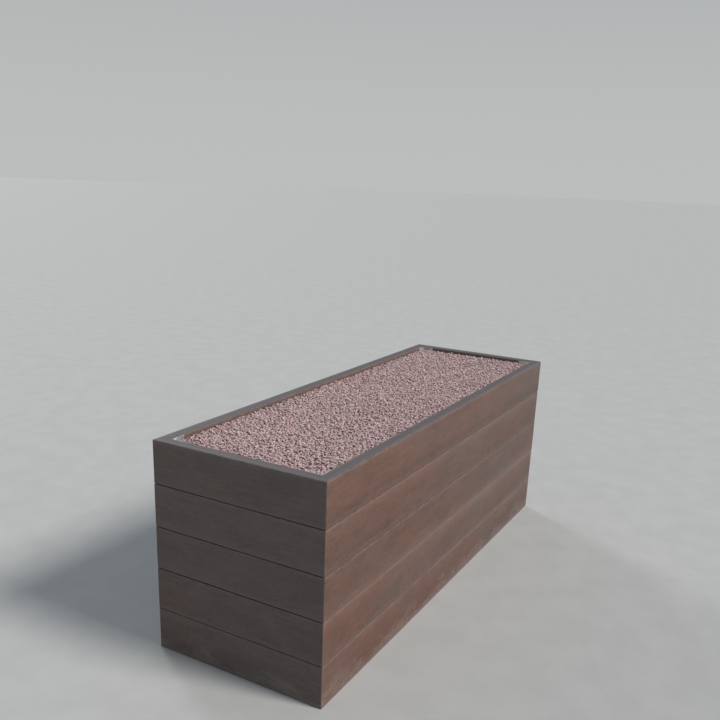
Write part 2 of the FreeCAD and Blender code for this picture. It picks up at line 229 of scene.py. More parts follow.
@dataclass(frozen=True)
class CompositeFinish:
    """Through-coloured composite board: softly clouded brown, with fine fibres along its length.

    It reads the mesh attributes "grain" (along, round and seed, in metres), "tone" (how much lighter
    than usual, with painted light and shade along the boards' edges), "warmth" (1 for red brown, 0 for grey
    brown), "wear" (1 on an arris), "joint" (1 deep in a joint, where shade is painted) and "sky" (1 on a
    face that looks up, where sky light is painted).
    """

    name: str
    red_brown: Colour = (0.137, 0.071, 0.0515)
    grey_brown: Colour = (0.108, 0.088, 0.081)
    rubbed: Colour = (0.205, 0.160, 0.145)
    # painted sky light: the bluish grey that light from the sky gives the rim's upward faces
    sky_lit_grey: Colour = (0.100, 0.089, 0.096)
    # painted shade: the near black put deep in the joints
    joint_shadow_colour: Colour = (0.016, 0.013, 0.012)
    dust: Colour = (0.30, 0.275, 0.25)
    roughness: float = 0.56
    sky_roughness: float = 0.08
    dusty_height: float = 0.07
    dusty_share: float = 0.22
    ragged: float = 0.04
    cloud_warmth: float = 0.16
    mottle_warmth: float = 0.11
    streak_relief: float = 0.3 * MM
    mottle_relief: float = 0.6 * MM
    speckle_relief: float = 0.15 * MM
    specular: float = 0.4

    def patterns(self, graph: Graph) -> dict[str, Socket]:
        """Make the attributes and noises that the finish is mixed from.

        Args:
            graph: the material's graph.

        Returns:
            The sockets by name.
        """
        grain = graph.attribute("grain", "Vector")
        maps = {name: graph.attribute(name, "Fac") for name in ("tone", "warmth", "wear", "joint", "sky")}
        maps["clouds"] = graph.noise(graph.scaled(grain, (2.2, 5.0, 1.0)), 1.0, 4.0, 0.6, 0.4)
        maps["patches"] = graph.noise(graph.scaled(grain, (7.0, 16.0, 1.0)), 1.0, 4.0, 0.62, 0.5)
        maps["mottle"] = graph.noise(graph.scaled(grain, (42.0, 75.0, 1.0)), 1.0, 4.0, 0.65)
        maps["streaks"] = graph.noise(graph.scaled(grain, (7.0, 210.0, 1.0)), 1.0, 5.0, 0.7, 0.3)
        maps["speckle"] = graph.noise(grain, 900.0, 2.0, 0.5)
        maps["flecks"] = graph.cells(graph.scaled(grain, (150.0, 460.0, 1.0)), 1.0, "Distance")
        return maps

    def body(self, graph: Graph, maps: dict[str, Socket]) -> Socket:
        """Colour the board itself, before wear and dirt.

        Args:
            graph: the material's graph.
            maps: its noises and attributes.

        Returns:
            The colour.
        """
        warm = graph.total(
            maps["warmth"],
            graph.swing(maps["clouds"], -self.cloud_warmth, self.cloud_warmth),
            graph.swing(maps["mottle"], -self.mottle_warmth, self.mottle_warmth),
        )
        colour = graph.blend(graph.spread(warm, 0.0, 1.0), self.grey_brown, self.red_brown)
        light = graph.total(
            1.0,
            maps["tone"],
            graph.spread(maps["patches"], 0.28, 0.72, 0.10, -0.10),
            graph.swing(maps["mottle"], -0.12, 0.11),
            graph.spread(maps["streaks"], 0.25, 0.75, -0.12, 0.12),
            graph.spread(maps["speckle"], 0.34, 0.66, -0.14, 0.12),
            graph.spread(maps["flecks"], 0.16, 0.05, 0.0, 0.22),
        )
        return graph.lit(colour, light)

    def splash(self, graph: Graph, maps: dict[str, Socket]) -> Socket:
        """Find where the dust that rain throws up clings, low on the walls.

        Args:
            graph: the material's graph.
            maps: its noises and attributes.

        Returns:
            The dust's share.
        """
        height = graph.split(graph.place())[2]
        edge = graph.swing(maps["patches"], -self.ragged, self.ragged)
        low = graph.spread(graph.total(height, edge), self.dusty_height, 0.0)
        share = graph.maths("MULTIPLY", low, self.dusty_share)
        return graph.maths("MULTIPLY", share, graph.swing(maps["mottle"], 0.35, 1.0))

    def build(self) -> Material:
        """Mix the finish.

        Returns:
            The finished material.
        """
        graph = Graph(self.name)
        maps = self.patterns(graph)
        colour = self.body(graph, maps)
        # painted sky light: the rim's upward faces turn bluish grey, in patches
        sky_lit_share = graph.maths("MULTIPLY", maps["sky"], graph.spread(maps["patches"], 0.25, 0.7, 0.96, 0.85))
        sky_lit_grey = graph.lit(self.sky_lit_grey, graph.swing(maps["streaks"], 0.9, 1.1))
        colour = graph.blend(sky_lit_share, colour, sky_lit_grey)
        rubbed = graph.maths("MULTIPLY", maps["wear"], graph.spread(maps["mottle"], 0.35, 0.65, 0.15, 0.45))
        colour = graph.blend(rubbed, colour, self.rubbed)
        colour = graph.blend(self.splash(graph, maps), colour, self.dust)
        # painted shade: darken the colour deep in the joints
        colour = graph.blend(maps["joint"], colour, self.joint_shadow_colour)

        rough = graph.total(
            graph.swing(maps["mottle"], -0.06, 0.08),
            self.roughness,
            graph.maths("MULTIPLY", maps["sky"], self.sky_roughness),
        )
        normal = graph.bump(maps["streaks"], self.streak_relief)
        normal = graph.bump(maps["mottle"], self.mottle_relief, normal)
        normal = graph.bump(maps["speckle"], self.speckle_relief, normal)
        return graph.finish(colour, rough, normal, specular=self.specular)


@dataclass(frozen=True)
class GalvanisedFinish:
    """Hot-dip zinc: crystal spangles of slightly different greys under a dull white bloom."""

    name: str
    light: Colour = (0.62, 0.64, 0.65)
    dark: Colour = (0.40, 0.42, 0.44)
    bloom: Colour = (0.70, 0.71, 0.70)
    spangles: float = 130.0
    roughness: float = 0.42
    relief: float = 0.6 * MM
    metallic: float = 0.75

    def build(self) -> Material:
        """Mix the finish.

        Returns:
            The finished material.
        """
        graph = Graph(self.name)
        place = graph.place()
        crystal = graph.split(graph.cells(place, self.spangles, "Color"))
        haze = graph.noise(place, 40.0, 5.0, 0.65)
        grit = graph.noise(place, 700.0, 2.0)
        colour = graph.blend(graph.spread(crystal[0], 0.1, 0.9), self.dark, self.light)
        colour = graph.blend(graph.spread(haze, 0.45, 0.7, 0.0, 0.65), colour, self.bloom)
        rough = graph.total(
            graph.spread(crystal[1], 0.0, 1.0, -0.08, 0.10),
            self.roughness,
            graph.spread(haze, 0.45, 0.7, 0.0, 0.2),
        )
        normal = graph.bump(graph.total(haze, graph.maths("MULTIPLY", grit, 0.3)), self.relief)
        return graph.finish(colour, rough, normal, metallic=self.metallic)


@dataclass(frozen=True)
class ZincPlateFinish:
    """Bright zinc plate of screws and nuts, a little yellowed and scuffed."""

    name: str
    bright: Colour = (0.66, 0.65, 0.60)
    dull: Colour = (0.44, 0.43, 0.38)
    relief: float = 0.1 * MM

    def build(self) -> Material:
        """Mix the finish.

        Returns:
            The finished material.
        """
        graph = Graph(self.name)
        place = graph.place()
        cloud = graph.noise(place, 260.0, 4.0, 0.6)
        scuff = graph.noise(graph.scaled(place, (400.0, 90.0, 400.0)), 1.0, 3.0)
        colour = graph.blend(graph.spread(cloud, 0.35, 0.65), self.bright, self.dull)
        rough = graph.spread(scuff, 0.35, 0.7, 0.28, 0.5)
        return graph.finish(colour, rough, graph.bump(scuff, self.relief), metallic=1.0)


@dataclass(frozen=True)
class CrushedStoneFinish:
    """Crushed granite: each stone its own tint, with mineral grains and a rough broken face.

    It reads the mesh attribute "tint", the stone's own colour.
    """

    name: str
    pale_grain: Colour = (0.60, 0.53, 0.50)
    dark_grain: Colour = (0.09, 0.065, 0.06)
    roughness: float = 0.85
    relief: float = 1.2 * MM
    specular: float = 0.3

    def build(self) -> Material:
        """Mix the finish.

        Returns:
            The finished material.
        """
        graph = Graph(self.name)
        place = graph.place()
        tint = graph.attribute("tint", "Color")
        grains = graph.noise(place, 620.0, 3.0, 0.6)
        crystals = graph.split(graph.cells(place, 520.0, "Color"))[0]
        broad = graph.noise(place, 140.0, 3.0)
        colour = graph.blend(graph.spread(crystals, 0.80, 0.95, 0.0, 0.55), tint, self.pale_grain)
        colour = graph.blend(graph.spread(crystals, 0.22, 0.06, 0.0, 0.60), colour, self.dark_grain)
        paler = graph.spread(broad, 0.35, 0.7, 0.0, 0.35)
        colour = graph.blend(paler, colour, self.pale_grain, "SOFT_LIGHT")
        normal = graph.bump(graph.total(grains, graph.maths("MULTIPLY", broad, 0.8)), self.relief)
        return graph.finish(colour, self.roughness, normal, specular=self.specular)


@dataclass(frozen=True)
class LooseFillFinish:
    """A loose filling seen as a mass: cells of different shade, with dark hollows between them."""

    name: str
    light: Colour
    dark: Colour
    grain_size: float
    roughness: float = 0.92
    relief_share: float = 0.5
    specular: float = 0.25

    def build(self) -> Material:
        """Mix the finish.

        Returns:
            The finished material.
        """
        graph = Graph(self.name)
        place = graph.place()
        per_metre = 1.0 / self.grain_size
        wobble = graph.noise(place, per_metre * 2.0, 3.0, 0.6)
        shade = graph.split(graph.cells(place, per_metre, "Color"))[0]
        hollow = graph.cells(place, per_metre, "Distance")
        colour = graph.blend(graph.spread(shade, 0.0, 1.0), self.dark, self.light)
        colour = graph.blend(graph.spread(wobble, 0.4, 0.7, 0.0, 0.5), colour, self.dark)
        height = graph.maths("SUBTRACT", wobble, hollow)
        normal = graph.bump(height, self.grain_size * self.relief_share)
        return graph.finish(colour, self.roughness, normal, specular=self.specular)


@dataclass(frozen=True)
class FleeceFinish:
    """Needle-punched filter fleece: pale fibres matted in every direction."""

    name: str
    pale: Colour = (0.72, 0.72, 0.69)
    soiled: Colour = (0.42, 0.39, 0.33)
    roughness: float = 0.95
    relief: float = 0.8 * MM
    specular: float = 0.2
    sheen: float = 0.3

    def build(self) -> Material:
        """Mix the finish.

        Returns:
            The finished material.
        """
        graph = Graph(self.name)
        place = graph.place()
        fibres = graph.noise(place, 800.0, 5.0, 0.75, 1.5)
        stain = graph.noise(place, 9.0, 4.0, 0.6)
        colour = graph.blend(graph.spread(fibres, 0.35, 0.65, 0.25, 0.0), self.pale, self.soiled)
        colour = graph.blend(graph.spread(stain, 0.45, 0.7, 0.0, 0.6), colour, self.soiled)
        normal = graph.bump(fibres, self.relief)
        material = graph.finish(colour, self.roughness, normal, specular=self.specular)
        graph.shader.inputs["Sheen Weight"].default_value = self.sheen
        return material


@dataclass(frozen=True)
class PaleFloorFinish:
    """Plain matt floor."""

    name: str
    colour: Colour = (0.50, 0.50, 0.49)
    darker: float = 0.94
    roughness: float = 0.9
    specular: float = 0.2

    def build(self) -> Material:
        """Mix the finish.

        Returns:
            The finished material.
        """
        graph = Graph(self.name)
        mottle = graph.noise(graph.place(), 7.0, 4.0, 0.6)
        darker = tuple(self.darker * part for part in self.colour)
        colour = graph.blend(graph.swing(mottle), self.colour, darker)
        return graph.finish(colour, self.roughness, specular=self.specular)


# ---------------------------------------------------------------- meshes


def add_attribute(mesh: Mesh, name: str, kind: str, domain: str, values: np.ndarray) -> None:
    """Store an attribute on a mesh.

    Args:
        mesh: the mesh.
        name: the attribute's name.
        kind: "FLOAT", "FLOAT_VECTOR" or "FLOAT_COLOR".
        domain: "POINT" or "FACE".
        values: one row per point or face.
    """
    attribute = mesh.attributes.new(name, kind, domain)
    field_name = {"FLOAT": "value", "FLOAT_VECTOR": "vector", "FLOAT_COLOR": "color"}[kind]
    attribute.data.foreach_set(field_name, np.asarray(values, np.float32).ravel())


def new_piece(
    name: str, points: np.ndarray, faces: list, replaced: tuple[str, ...] = ()
) -> Piece:
    """Make an object from points and faces, and let it ride on the planter.

    Args:
        name: the piece's name.
        points: its points, in metres.
        faces: lists of point numbers.
        replaced: the design's own nodes that it stands for.

    Returns:
        The object.
    """
    mesh = bpy.data.meshes.new(name)
    mesh.from_pydata(points.tolist(), [], faces)
    mesh.validate()
    piece = bpy.data.objects.new(name, mesh)
    bpy.context.scene.collection.objects.link(piece)
    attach(piece, BODY)
    if replaced:
        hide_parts(*replaced)
    LOG.info("%s: %d points, %d faces", name, len(mesh.vertices), len(mesh.polygons))
    return piece


def add_skin_map(mesh: Mesh, places: np.ndarray) -> None:
    """Store where each corner of each face lies when a piece's skin is laid out on the unit square."""
    layer = mesh.uv_layers.new(name=SKIN_MAP)
    layer.data.foreach_set("uv", places.astype(np.float32).ravel())


def drop_loose_points(mesh: Mesh) -> None:
    """Delete the points of a mesh that no face uses.

    Args:
        mesh: the mesh.
    """
    work = bmesh.new()
    work.from_mesh(mesh)
    bmesh.ops.delete(work, geom=[vert for vert in work.verts if not vert.link_faces], context="VERTS")
    work.to_mesh(mesh)
    work.free()


def rounded_outline(corners: list[tuple[float, float, float]], steps: int) -> Outline:
    """Round the corners of a closed outline.

    Args:
        corners: (across, up, radius) of each corner, in order.
        steps: segments in each arc.

    Returns:
        The outline's points.
    """
    outline: Outline = []
    count = len(corners)
    for index, (across, up, radius) in enumerate(corners):
        corner = Vector((across, up))
        if radius <= 0:
            outline.append((across, up))
            continue
        back = (Vector(corners[index - 1][:2]) - corner).normalized()
        ahead = (Vector(corners[(index + 1) % count][:2]) - corner).normalized()
        half = back.angle(ahead) / 2
        centre = corner + (back + ahead).normalized() * (radius / math.sin(half))
        first = corner + back * (radius / math.tan(half)) - centre
        last = corner + ahead * (radius / math.tan(half)) - centre
        for step in range(steps + 1):
            share = step / steps
            spoke = (first * (1 - share) + last * share).normalized() * radius
            outline.append(tuple(centre + spoke))
    return outline


def divided(outline: Outline, spacing: float) -> Outline:
    """Add points to the straight stretches of a closed outline.

    Args:
        outline: the outline.
        spacing: the longest stretch to leave.

    Returns:
        The finer outline.
    """
    finer: Outline = []
    for index, point in enumerate(outline):
        following = outline[(index + 1) % len(outline)]
        pieces = max(1, math.ceil(math.dist(point, following) / spacing - 1e-6))
        for step in range(pieces):
            share = step / pieces
            finer.append(tuple(a + (b - a) * share for a, b in zip(point, following)))
    return finer


@dataclass
class Ripple:
    """A smooth random height over two coordinates: a sum of a few slow waves.

    Attributes:
        seed: picks the waves.
        amplitude: the largest height, in metres.
        shortest: the shortest wavelength, in metres.
        longest: the longest wavelength, in metres.
        waves: how many waves are summed.
        gain: makes up for waves that cancel each other.
    """

    seed: int
    amplitude: float
    shortest: float
    longest: float
    waves: int = 7
    gain: float = 1.6

    def height(self, along: np.ndarray, across: np.ndarray) -> np.ndarray:
        """Work out the height at each point.

        Args:
            along: the first coordinates, in metres.
            across: the second coordinates, which broadcast with the first.

        Returns:
            The heights, in metres.
        """
        random = np.random.default_rng(self.seed)
        total = np.zeros(np.broadcast(along, across).shape)
        for _ in range(self.waves):
            length = math.exp(random.uniform(math.log(self.shortest), math.log(self.longest)))
            turn = random.uniform(0, math.pi)
            phase = random.uniform(0, FULL_TURN)
            reach = (along * math.cos(turn) + across * math.sin(turn)) * FULL_TURN / length
            total += np.sin(reach + phase)
        return total * self.amplitude / self.waves * self.gain


# ---------------------------------------------------------------- boards


class WallSide(Enum):
    """The four walls: node prefix, and quarter turns about Z from the front wall."""

    FRONT = ("front_board", 0)
    RIGHT_END = ("right_end_board", 1)
    BACK = ("back_board", 2)
    LEFT_END = ("left_end_board", 3)


@dataclass
class Plank:
    """One extruded board, drawn lying along X with its outer face at depth 0.

    Attributes:
        name: the piece's name.
        corners: its cross-section as (depth, height, radius) corners, anticlockwise.
        run: its length at the outer face, in metres.
        seed: picks its own waviness and shade.
        mitre: how much each end recedes per unit of depth, 1 for a mitred corner and 0 for a square cut.
        mitre_gap: the open joint at a mitred corner.
        corner_round: the easing of the box's vertical corners.
        waviness: how far a face strays from flat.
        tone: how much lighter than usual the board is.
        top_painted_light: how much lighter its upper edge is painted, as painted light.
        foot_painted_light: how much lighter its lower edge is painted, as painted light; a negative value
            paints shade.
        warmth: red brown (1) or grey brown (0), at the left end and at the right end.
        thick: the thickness between two open joints, or 0 where the edges show.
        joint_shadow: how dark the painted shade inside the joints is, 0 to 1.
        proud: how far the whole board stands out from its place.
        rim_up: the height above which the section counts as the rim, whose upward faces get painted sky
            light, or None.
        station: the usual distance between stations along the board.
        least_stations: how many a short board has at least.
        end_stations: the stations near an end, measured from it.
        end_reach: where the even stations begin, measured from an end.
        face_step: the longest stretch between points round the section.
        arc_steps: segments in each rounded edge.
        settle: how far from its ends a face becomes uneven.
        sharp_bend: how much a section turns at an edge that counts as an arris.
        arris_fade: how much of an arris the points beside it still are.
        wave_lengths: the shortest and longest waves in a face.
        nick: how deep the nicks in the arrises go.
        nick_lengths: the shortest and longest waves that the nicks come from.
        nick_waves: how many of them there are.
        nick_above: the height above which such a wave leaves a nick.
        nick_seed: what the nicks' seed has more than the board's.
        nick_stretch: how fast they change round the section, when along the board is 1.
        end_wear: how far from an end the wear reaches.
        top_from: the share of the height from which the board lightens upward.
        top_over: the share of the height over which it does so.
        top_curve: how late it does so, 1 for evenly.
        foot_below: the share of the height below which it lightens downward.
        openings: how deep a joint's edges stay free of painted shade, below and above the board.
        joint_shadow_depth: how much deeper the painted shade is full.
        grain_step: how far apart boards with neighbouring seeds lie in the finish's pattern.
        grain_span: how much of the pattern is used.
        map_gap: the room between the parts of the laid-out skin.
        long_board: a board longer than this has its skin laid out.
    """

    name: str
    corners: list[tuple[float, float, float]]
    run: float
    seed: int
    mitre: float = 0.0
    mitre_gap: float = 0.0
    corner_round: float = 0.0
    waviness: float = 0.22 * MM
    tone: float = 0.0
    top_painted_light: float = 0.0
    foot_painted_light: float = 0.0
    warmth: tuple[float, float] = (0.5, 0.5)
    thick: float = 0.0
    joint_shadow: float = 0.0
    proud: float = 0.0
    rim_up: float | None = None
    station: float = 9.0 * MM
    least_stations: int = 8
    end_stations: tuple[float, ...] = (0.0, 0.6 * MM, 1.3 * MM, 2.1 * MM, 3.0 * MM, 4.5 * MM, 7.0 * MM)
    end_reach: float = 12.0 * MM
    face_step: float = 9.0 * MM
    arc_steps: int = 5
    settle: float = 30 * MM
    sharp_bend: float = 0.12
    arris_fade: float = 0.5
    wave_lengths: tuple[float, float] = (0.07, 0.6)
    nick: float = 1.2 * MM
    nick_lengths: tuple[float, float] = (0.012, 0.16)
    nick_waves: int = 9
    nick_above: float = 0.85
    nick_seed: int = 500
    nick_stretch: float = 0.1
    end_wear: float = 3 * MM
    top_from: float = 0.42
    top_over: float = 0.5
    top_curve: float = 1.5
    foot_below: float = 0.35
    openings: tuple[float, float] = (0.5 * MM, 1.3 * MM)
    joint_shadow_depth: float = 1.2 * MM
    grain_step: float = 7.31
    grain_span: float = 50.0
    map_gap: float = 9 * MM
    long_board: float = 1.0

    def half_run(self, depth: np.ndarray) -> np.ndarray:
        """Work out how far the board reaches from its middle.

        Args:
            depth: the depths to look at.

        Returns:
            The reach at each depth.
        """
        back_off = self.mitre_gap / math.sqrt(2)
        reach = self.run / 2 - back_off - self.mitre * depth
        if self.corner_round > 0:
            radius = self.corner_round
            crossing = (math.sqrt(2 * radius**2 - back_off**2) - back_off) / 2
            reach = np.minimum(reach, self.run / 2 - radius + crossing)
        return reach

    def eased(self, along: np.ndarray, depth: np.ndarray) -> np.ndarray:
        """Round the box's vertical corner.

        Args:
            along: the points' places along the board.
            depth: their depths.

        Returns:
            Their depths once the corner is rounded.
        """
        if self.corner_round <= 0:
            return depth
        past = np.clip(np.abs(along) - (self.run / 2 - self.corner_round), 0, self.corner_round)
        arc = self.corner_round - np.sqrt(self.corner_round**2 - past**2)
        return np.maximum(depth, arc)

    def stations(self) -> np.ndarray:
        """Space the stations along the board, close together at its ends.

        Returns:
            Their places as shares of its half length.
        """
        half = self.run / 2
        ends = np.array(self.end_stations)
        even = max(self.least_stations, round(self.run / self.station))
        inner = np.linspace(-half + self.end_reach, half - self.end_reach, even)
        places = np.concatenate([-half + ends, inner, (half - ends)[::-1]])
        return places / half

    def outline(self) -> np.ndarray:
        """Return the cross-section's (depth, height) points."""
        return np.array(divided(rounded_outline(self.corners, self.arc_steps), self.face_step))

    def build(self) -> tuple[np.ndarray, list, dict[str, np.ndarray]]:
        """Make the board's mesh.

        Returns:
            Its points, its faces, and the values per point that the finish reads.
        """
        section = self.outline()
        following = np.roll(section, -1, axis=0)
        tangent = following - np.roll(section, 1, axis=0)
        tangent /= np.linalg.norm(tangent, axis=1, keepdims=True)
        outward = np.stack([tangent[:, 1], -tangent[:, 0]], axis=1)
        girth = np.concatenate([[0], np.cumsum(np.linalg.norm(following - section, axis=1))])[:-1]
        bend = np.abs(np.cross(np.roll(tangent, -1, axis=0), tangent))
        arris = np.clip(bend / self.sharp_bend, 0, 1)
        beside = np.maximum(np.roll(arris, 1), np.roll(arris, -1))
        arris = np.maximum(arris, self.arris_fade * beside)

        depth = section[None, :, 0]
        along = self.stations()[:, None] * self.half_run(depth)
        depth = self.eased(along, np.broadcast_to(depth, along.shape))
        shift = self.unevenness(along, girth, arris)
        depth = depth + shift * outward[None, :, 0] - self.proud
        height = section[None, :, 1] + shift * outward[None, :, 1]
        points = np.stack([along, depth, height], axis=-1).reshape(-1, 3)
        values = self.looks(section, along, girth, arris, outward)
        return points, self.skin(*along.shape), values

    def unevenness(self, along: np.ndarray, girth: np.ndarray, arris: np.ndarray) -> np.ndarray:
        """Make the faces slightly wavy and nick the arrises.

        Args:
            along: each point's place along the board.
            girth: each section point's place round the section.
            arris: how much of an arris it is, 0 to 1.

        Returns:
            How far each point stands out from its flat place.
        """
        settled = np.clip((self.run / 2 - np.abs(along)) / self.settle, 0, 1)
        waves = Ripple(self.seed, self.waviness, *self.wave_lengths)
        nicks = Ripple(self.seed + self.nick_seed, 1.0, *self.nick_lengths, self.nick_waves)
        wave = waves.height(along, girth[None, :]) * settled
        nick = nicks.height(along, girth[None, :] * self.nick_stretch)
        return wave - np.clip(nick - self.nick_above, 0, 1) * self.nick * arris[None, :] * settled

    def skin(self, rows: int, columns: int) -> list[tuple[int, ...]]:
        """Join the sections into faces.

        Args:
            rows: how many stations there are.
            columns: how many points each section has.

        Returns:
            The faces from station to station, then the two ends.
        """
        faces = []
        for here in range(0, (rows - 1) * columns, columns):
            ahead = here + columns
            for column in range(columns):
                beside = (column + 1) % columns
                faces.append((here + column, ahead + column, ahead + beside, here + beside))
        faces.append(tuple(range(columns)))
        faces.append(tuple(reversed(range((rows - 1) * columns, rows * columns))))
        return faces

    def looks(
        self,
        section: np.ndarray,
        along: np.ndarray,
        girth: np.ndarray,
        arris: np.ndarray,
        outward: np.ndarray,
    ) -> dict[str, np.ndarray]:
        """Work out what the finish reads.

        Args:
            section: the cross-section's (depth, height) points.
            along: each point's place along the board.
            girth: each section point's place round the section.
            arris: how much of an arris it is, 0 to 1.
            outward: the way it faces.

        Returns:
            The "grain", "tone", "warmth", "wear", "joint" and "sky" values per point.
        """

        def spread_out(row: np.ndarray) -> np.ndarray:
            """Repeat a section's values at every station."""
            return np.broadcast_to(row[None, :], along.shape)

        place = (self.seed * self.grain_step) % self.grain_span
        grain = np.stack([along + place, spread_out(girth), np.full(along.shape, place)], axis=-1)
        end_wear = np.clip(1 - (self.half_run(section[None, :, 0]) - np.abs(along)) / self.end_wear, 0, 1)
        sky = np.zeros(along.shape)
        # the rim's upward faces, which get painted sky light
        if self.rim_up is not None:
            sky = spread_out((section[:, 1] > self.rim_up) * np.clip(outward[:, 1], 0, 1))
        low, high = section[:, 1].min(), section[:, 1].max()
        rise = (section[:, 1] - low) / (high - low)
        upper = np.clip((rise - self.top_from) / self.top_over, 0, 1)
        # painted light and shade along the board's upper and lower edges, added to its own random tone
        tone = self.tone + self.top_painted_light * upper**self.top_curve
        tone = tone + self.foot_painted_light * np.clip((self.foot_below - rise) / self.foot_below, 0, 1)
        return {
            "grain": grain.reshape(-1, 3),
            "tone": spread_out(tone).ravel(),
            "warmth": np.interp(along, (-self.run / 2, self.run / 2), self.warmth).ravel(),
            "wear": np.maximum(spread_out(arris), end_wear).ravel(),
            # painted shade deep in the joints
            "joint": spread_out(self.joint_shadow * self.joint(section)).ravel(),
            "sky": sky.ravel(),
        }

    def joint(self, section: np.ndarray) -> np.ndarray:
        """Return how deep in a joint each point of the cross-section lies, from 0 to 1.

        Args:
            section: the cross-section's (depth, height) points.

        Returns:
            One value per point.
        """
        if self.thick <= 0:
            return np.zeros(len(section))
        depth = np.minimum(section[:, 0], self.thick - section[:, 0])
        lower = section[:, 1] < section[:, 1].mean()
        opening = np.where(lower, *self.openings)
        inside = np.clip((depth - opening) / self.joint_shadow_depth, 0, 1)
        if self.rim_up is not None:
            inside = np.where(lower, inside, 0.0)
        return inside

    def skin_map(self) -> np.ndarray:
        """Lay the skin out flat in strips of equal length, one above the other, with its ends above them.

        Returns:
            A place on the unit square for each corner of each face.
        """
        section = self.outline()
        places = self.stations() * self.run / 2
        steps = np.linalg.norm(np.roll(section, -1, axis=0) - section, axis=1)
        girth = np.concatenate([[0], np.cumsum(steps)])
        strips = max(1, round(math.sqrt(self.run / girth[-1])))
        breaks = np.linspace(0, len(places) - 1, strips + 1).astype(int)
        corners = []
        for strip, (first, last) in enumerate(zip(breaks, breaks[1:])):
            across = places - places[first]
            up = girth + strip * (girth[-1] + self.map_gap)
            for row in range(first, last):
                for column in range(len(section)):
                    near, far, low, high = across[row], across[row + 1], up[column], up[column + 1]
                    corners += [(near, low), (far, low), (far, high), (near, high)]
        base = strips * (girth[-1] + self.map_gap)
        cap = (section - section.min(axis=0))[:, ::-1] + np.array([0.0, base])
        beside = cap[::-1] + np.array([cap[:, 0].max() + self.map_gap, 0.0])
        flat = np.concatenate([np.array(corners), cap, beside])
        return flat / (flat.max() + self.map_gap) + 0.5 * self.map_gap

    def dress(self, placing: Matrix, replaced: str, material: Material) -> Piece:
        """Make the board's piece in its place, with its attributes and material.

        Args:
            placing: from the board's own axes to the planter's.
            replaced: the design's node that it stands for.
            material: its finish.

        Returns:
            The piece.
        """
        points, faces, values = self.build()
        points = points @ np.array(placing.to_3x3()).T + np.array(placing.translation)
        piece = new_piece(self.name, points, faces, (replaced,))
        mesh = piece.data
        for name, rows in values.items():
            add_attribute(mesh, name, "FLOAT_VECTOR" if name == "grain" else "FLOAT", "POINT", rows)
        if self.run > self.long_board:
            add_skin_map(mesh, self.skin_map())
        mesh.shade_smooth()
        mesh.set_sharp_from_angle(angle=SHARP_EDGE)
        mesh.materials.append(material)
        return piece


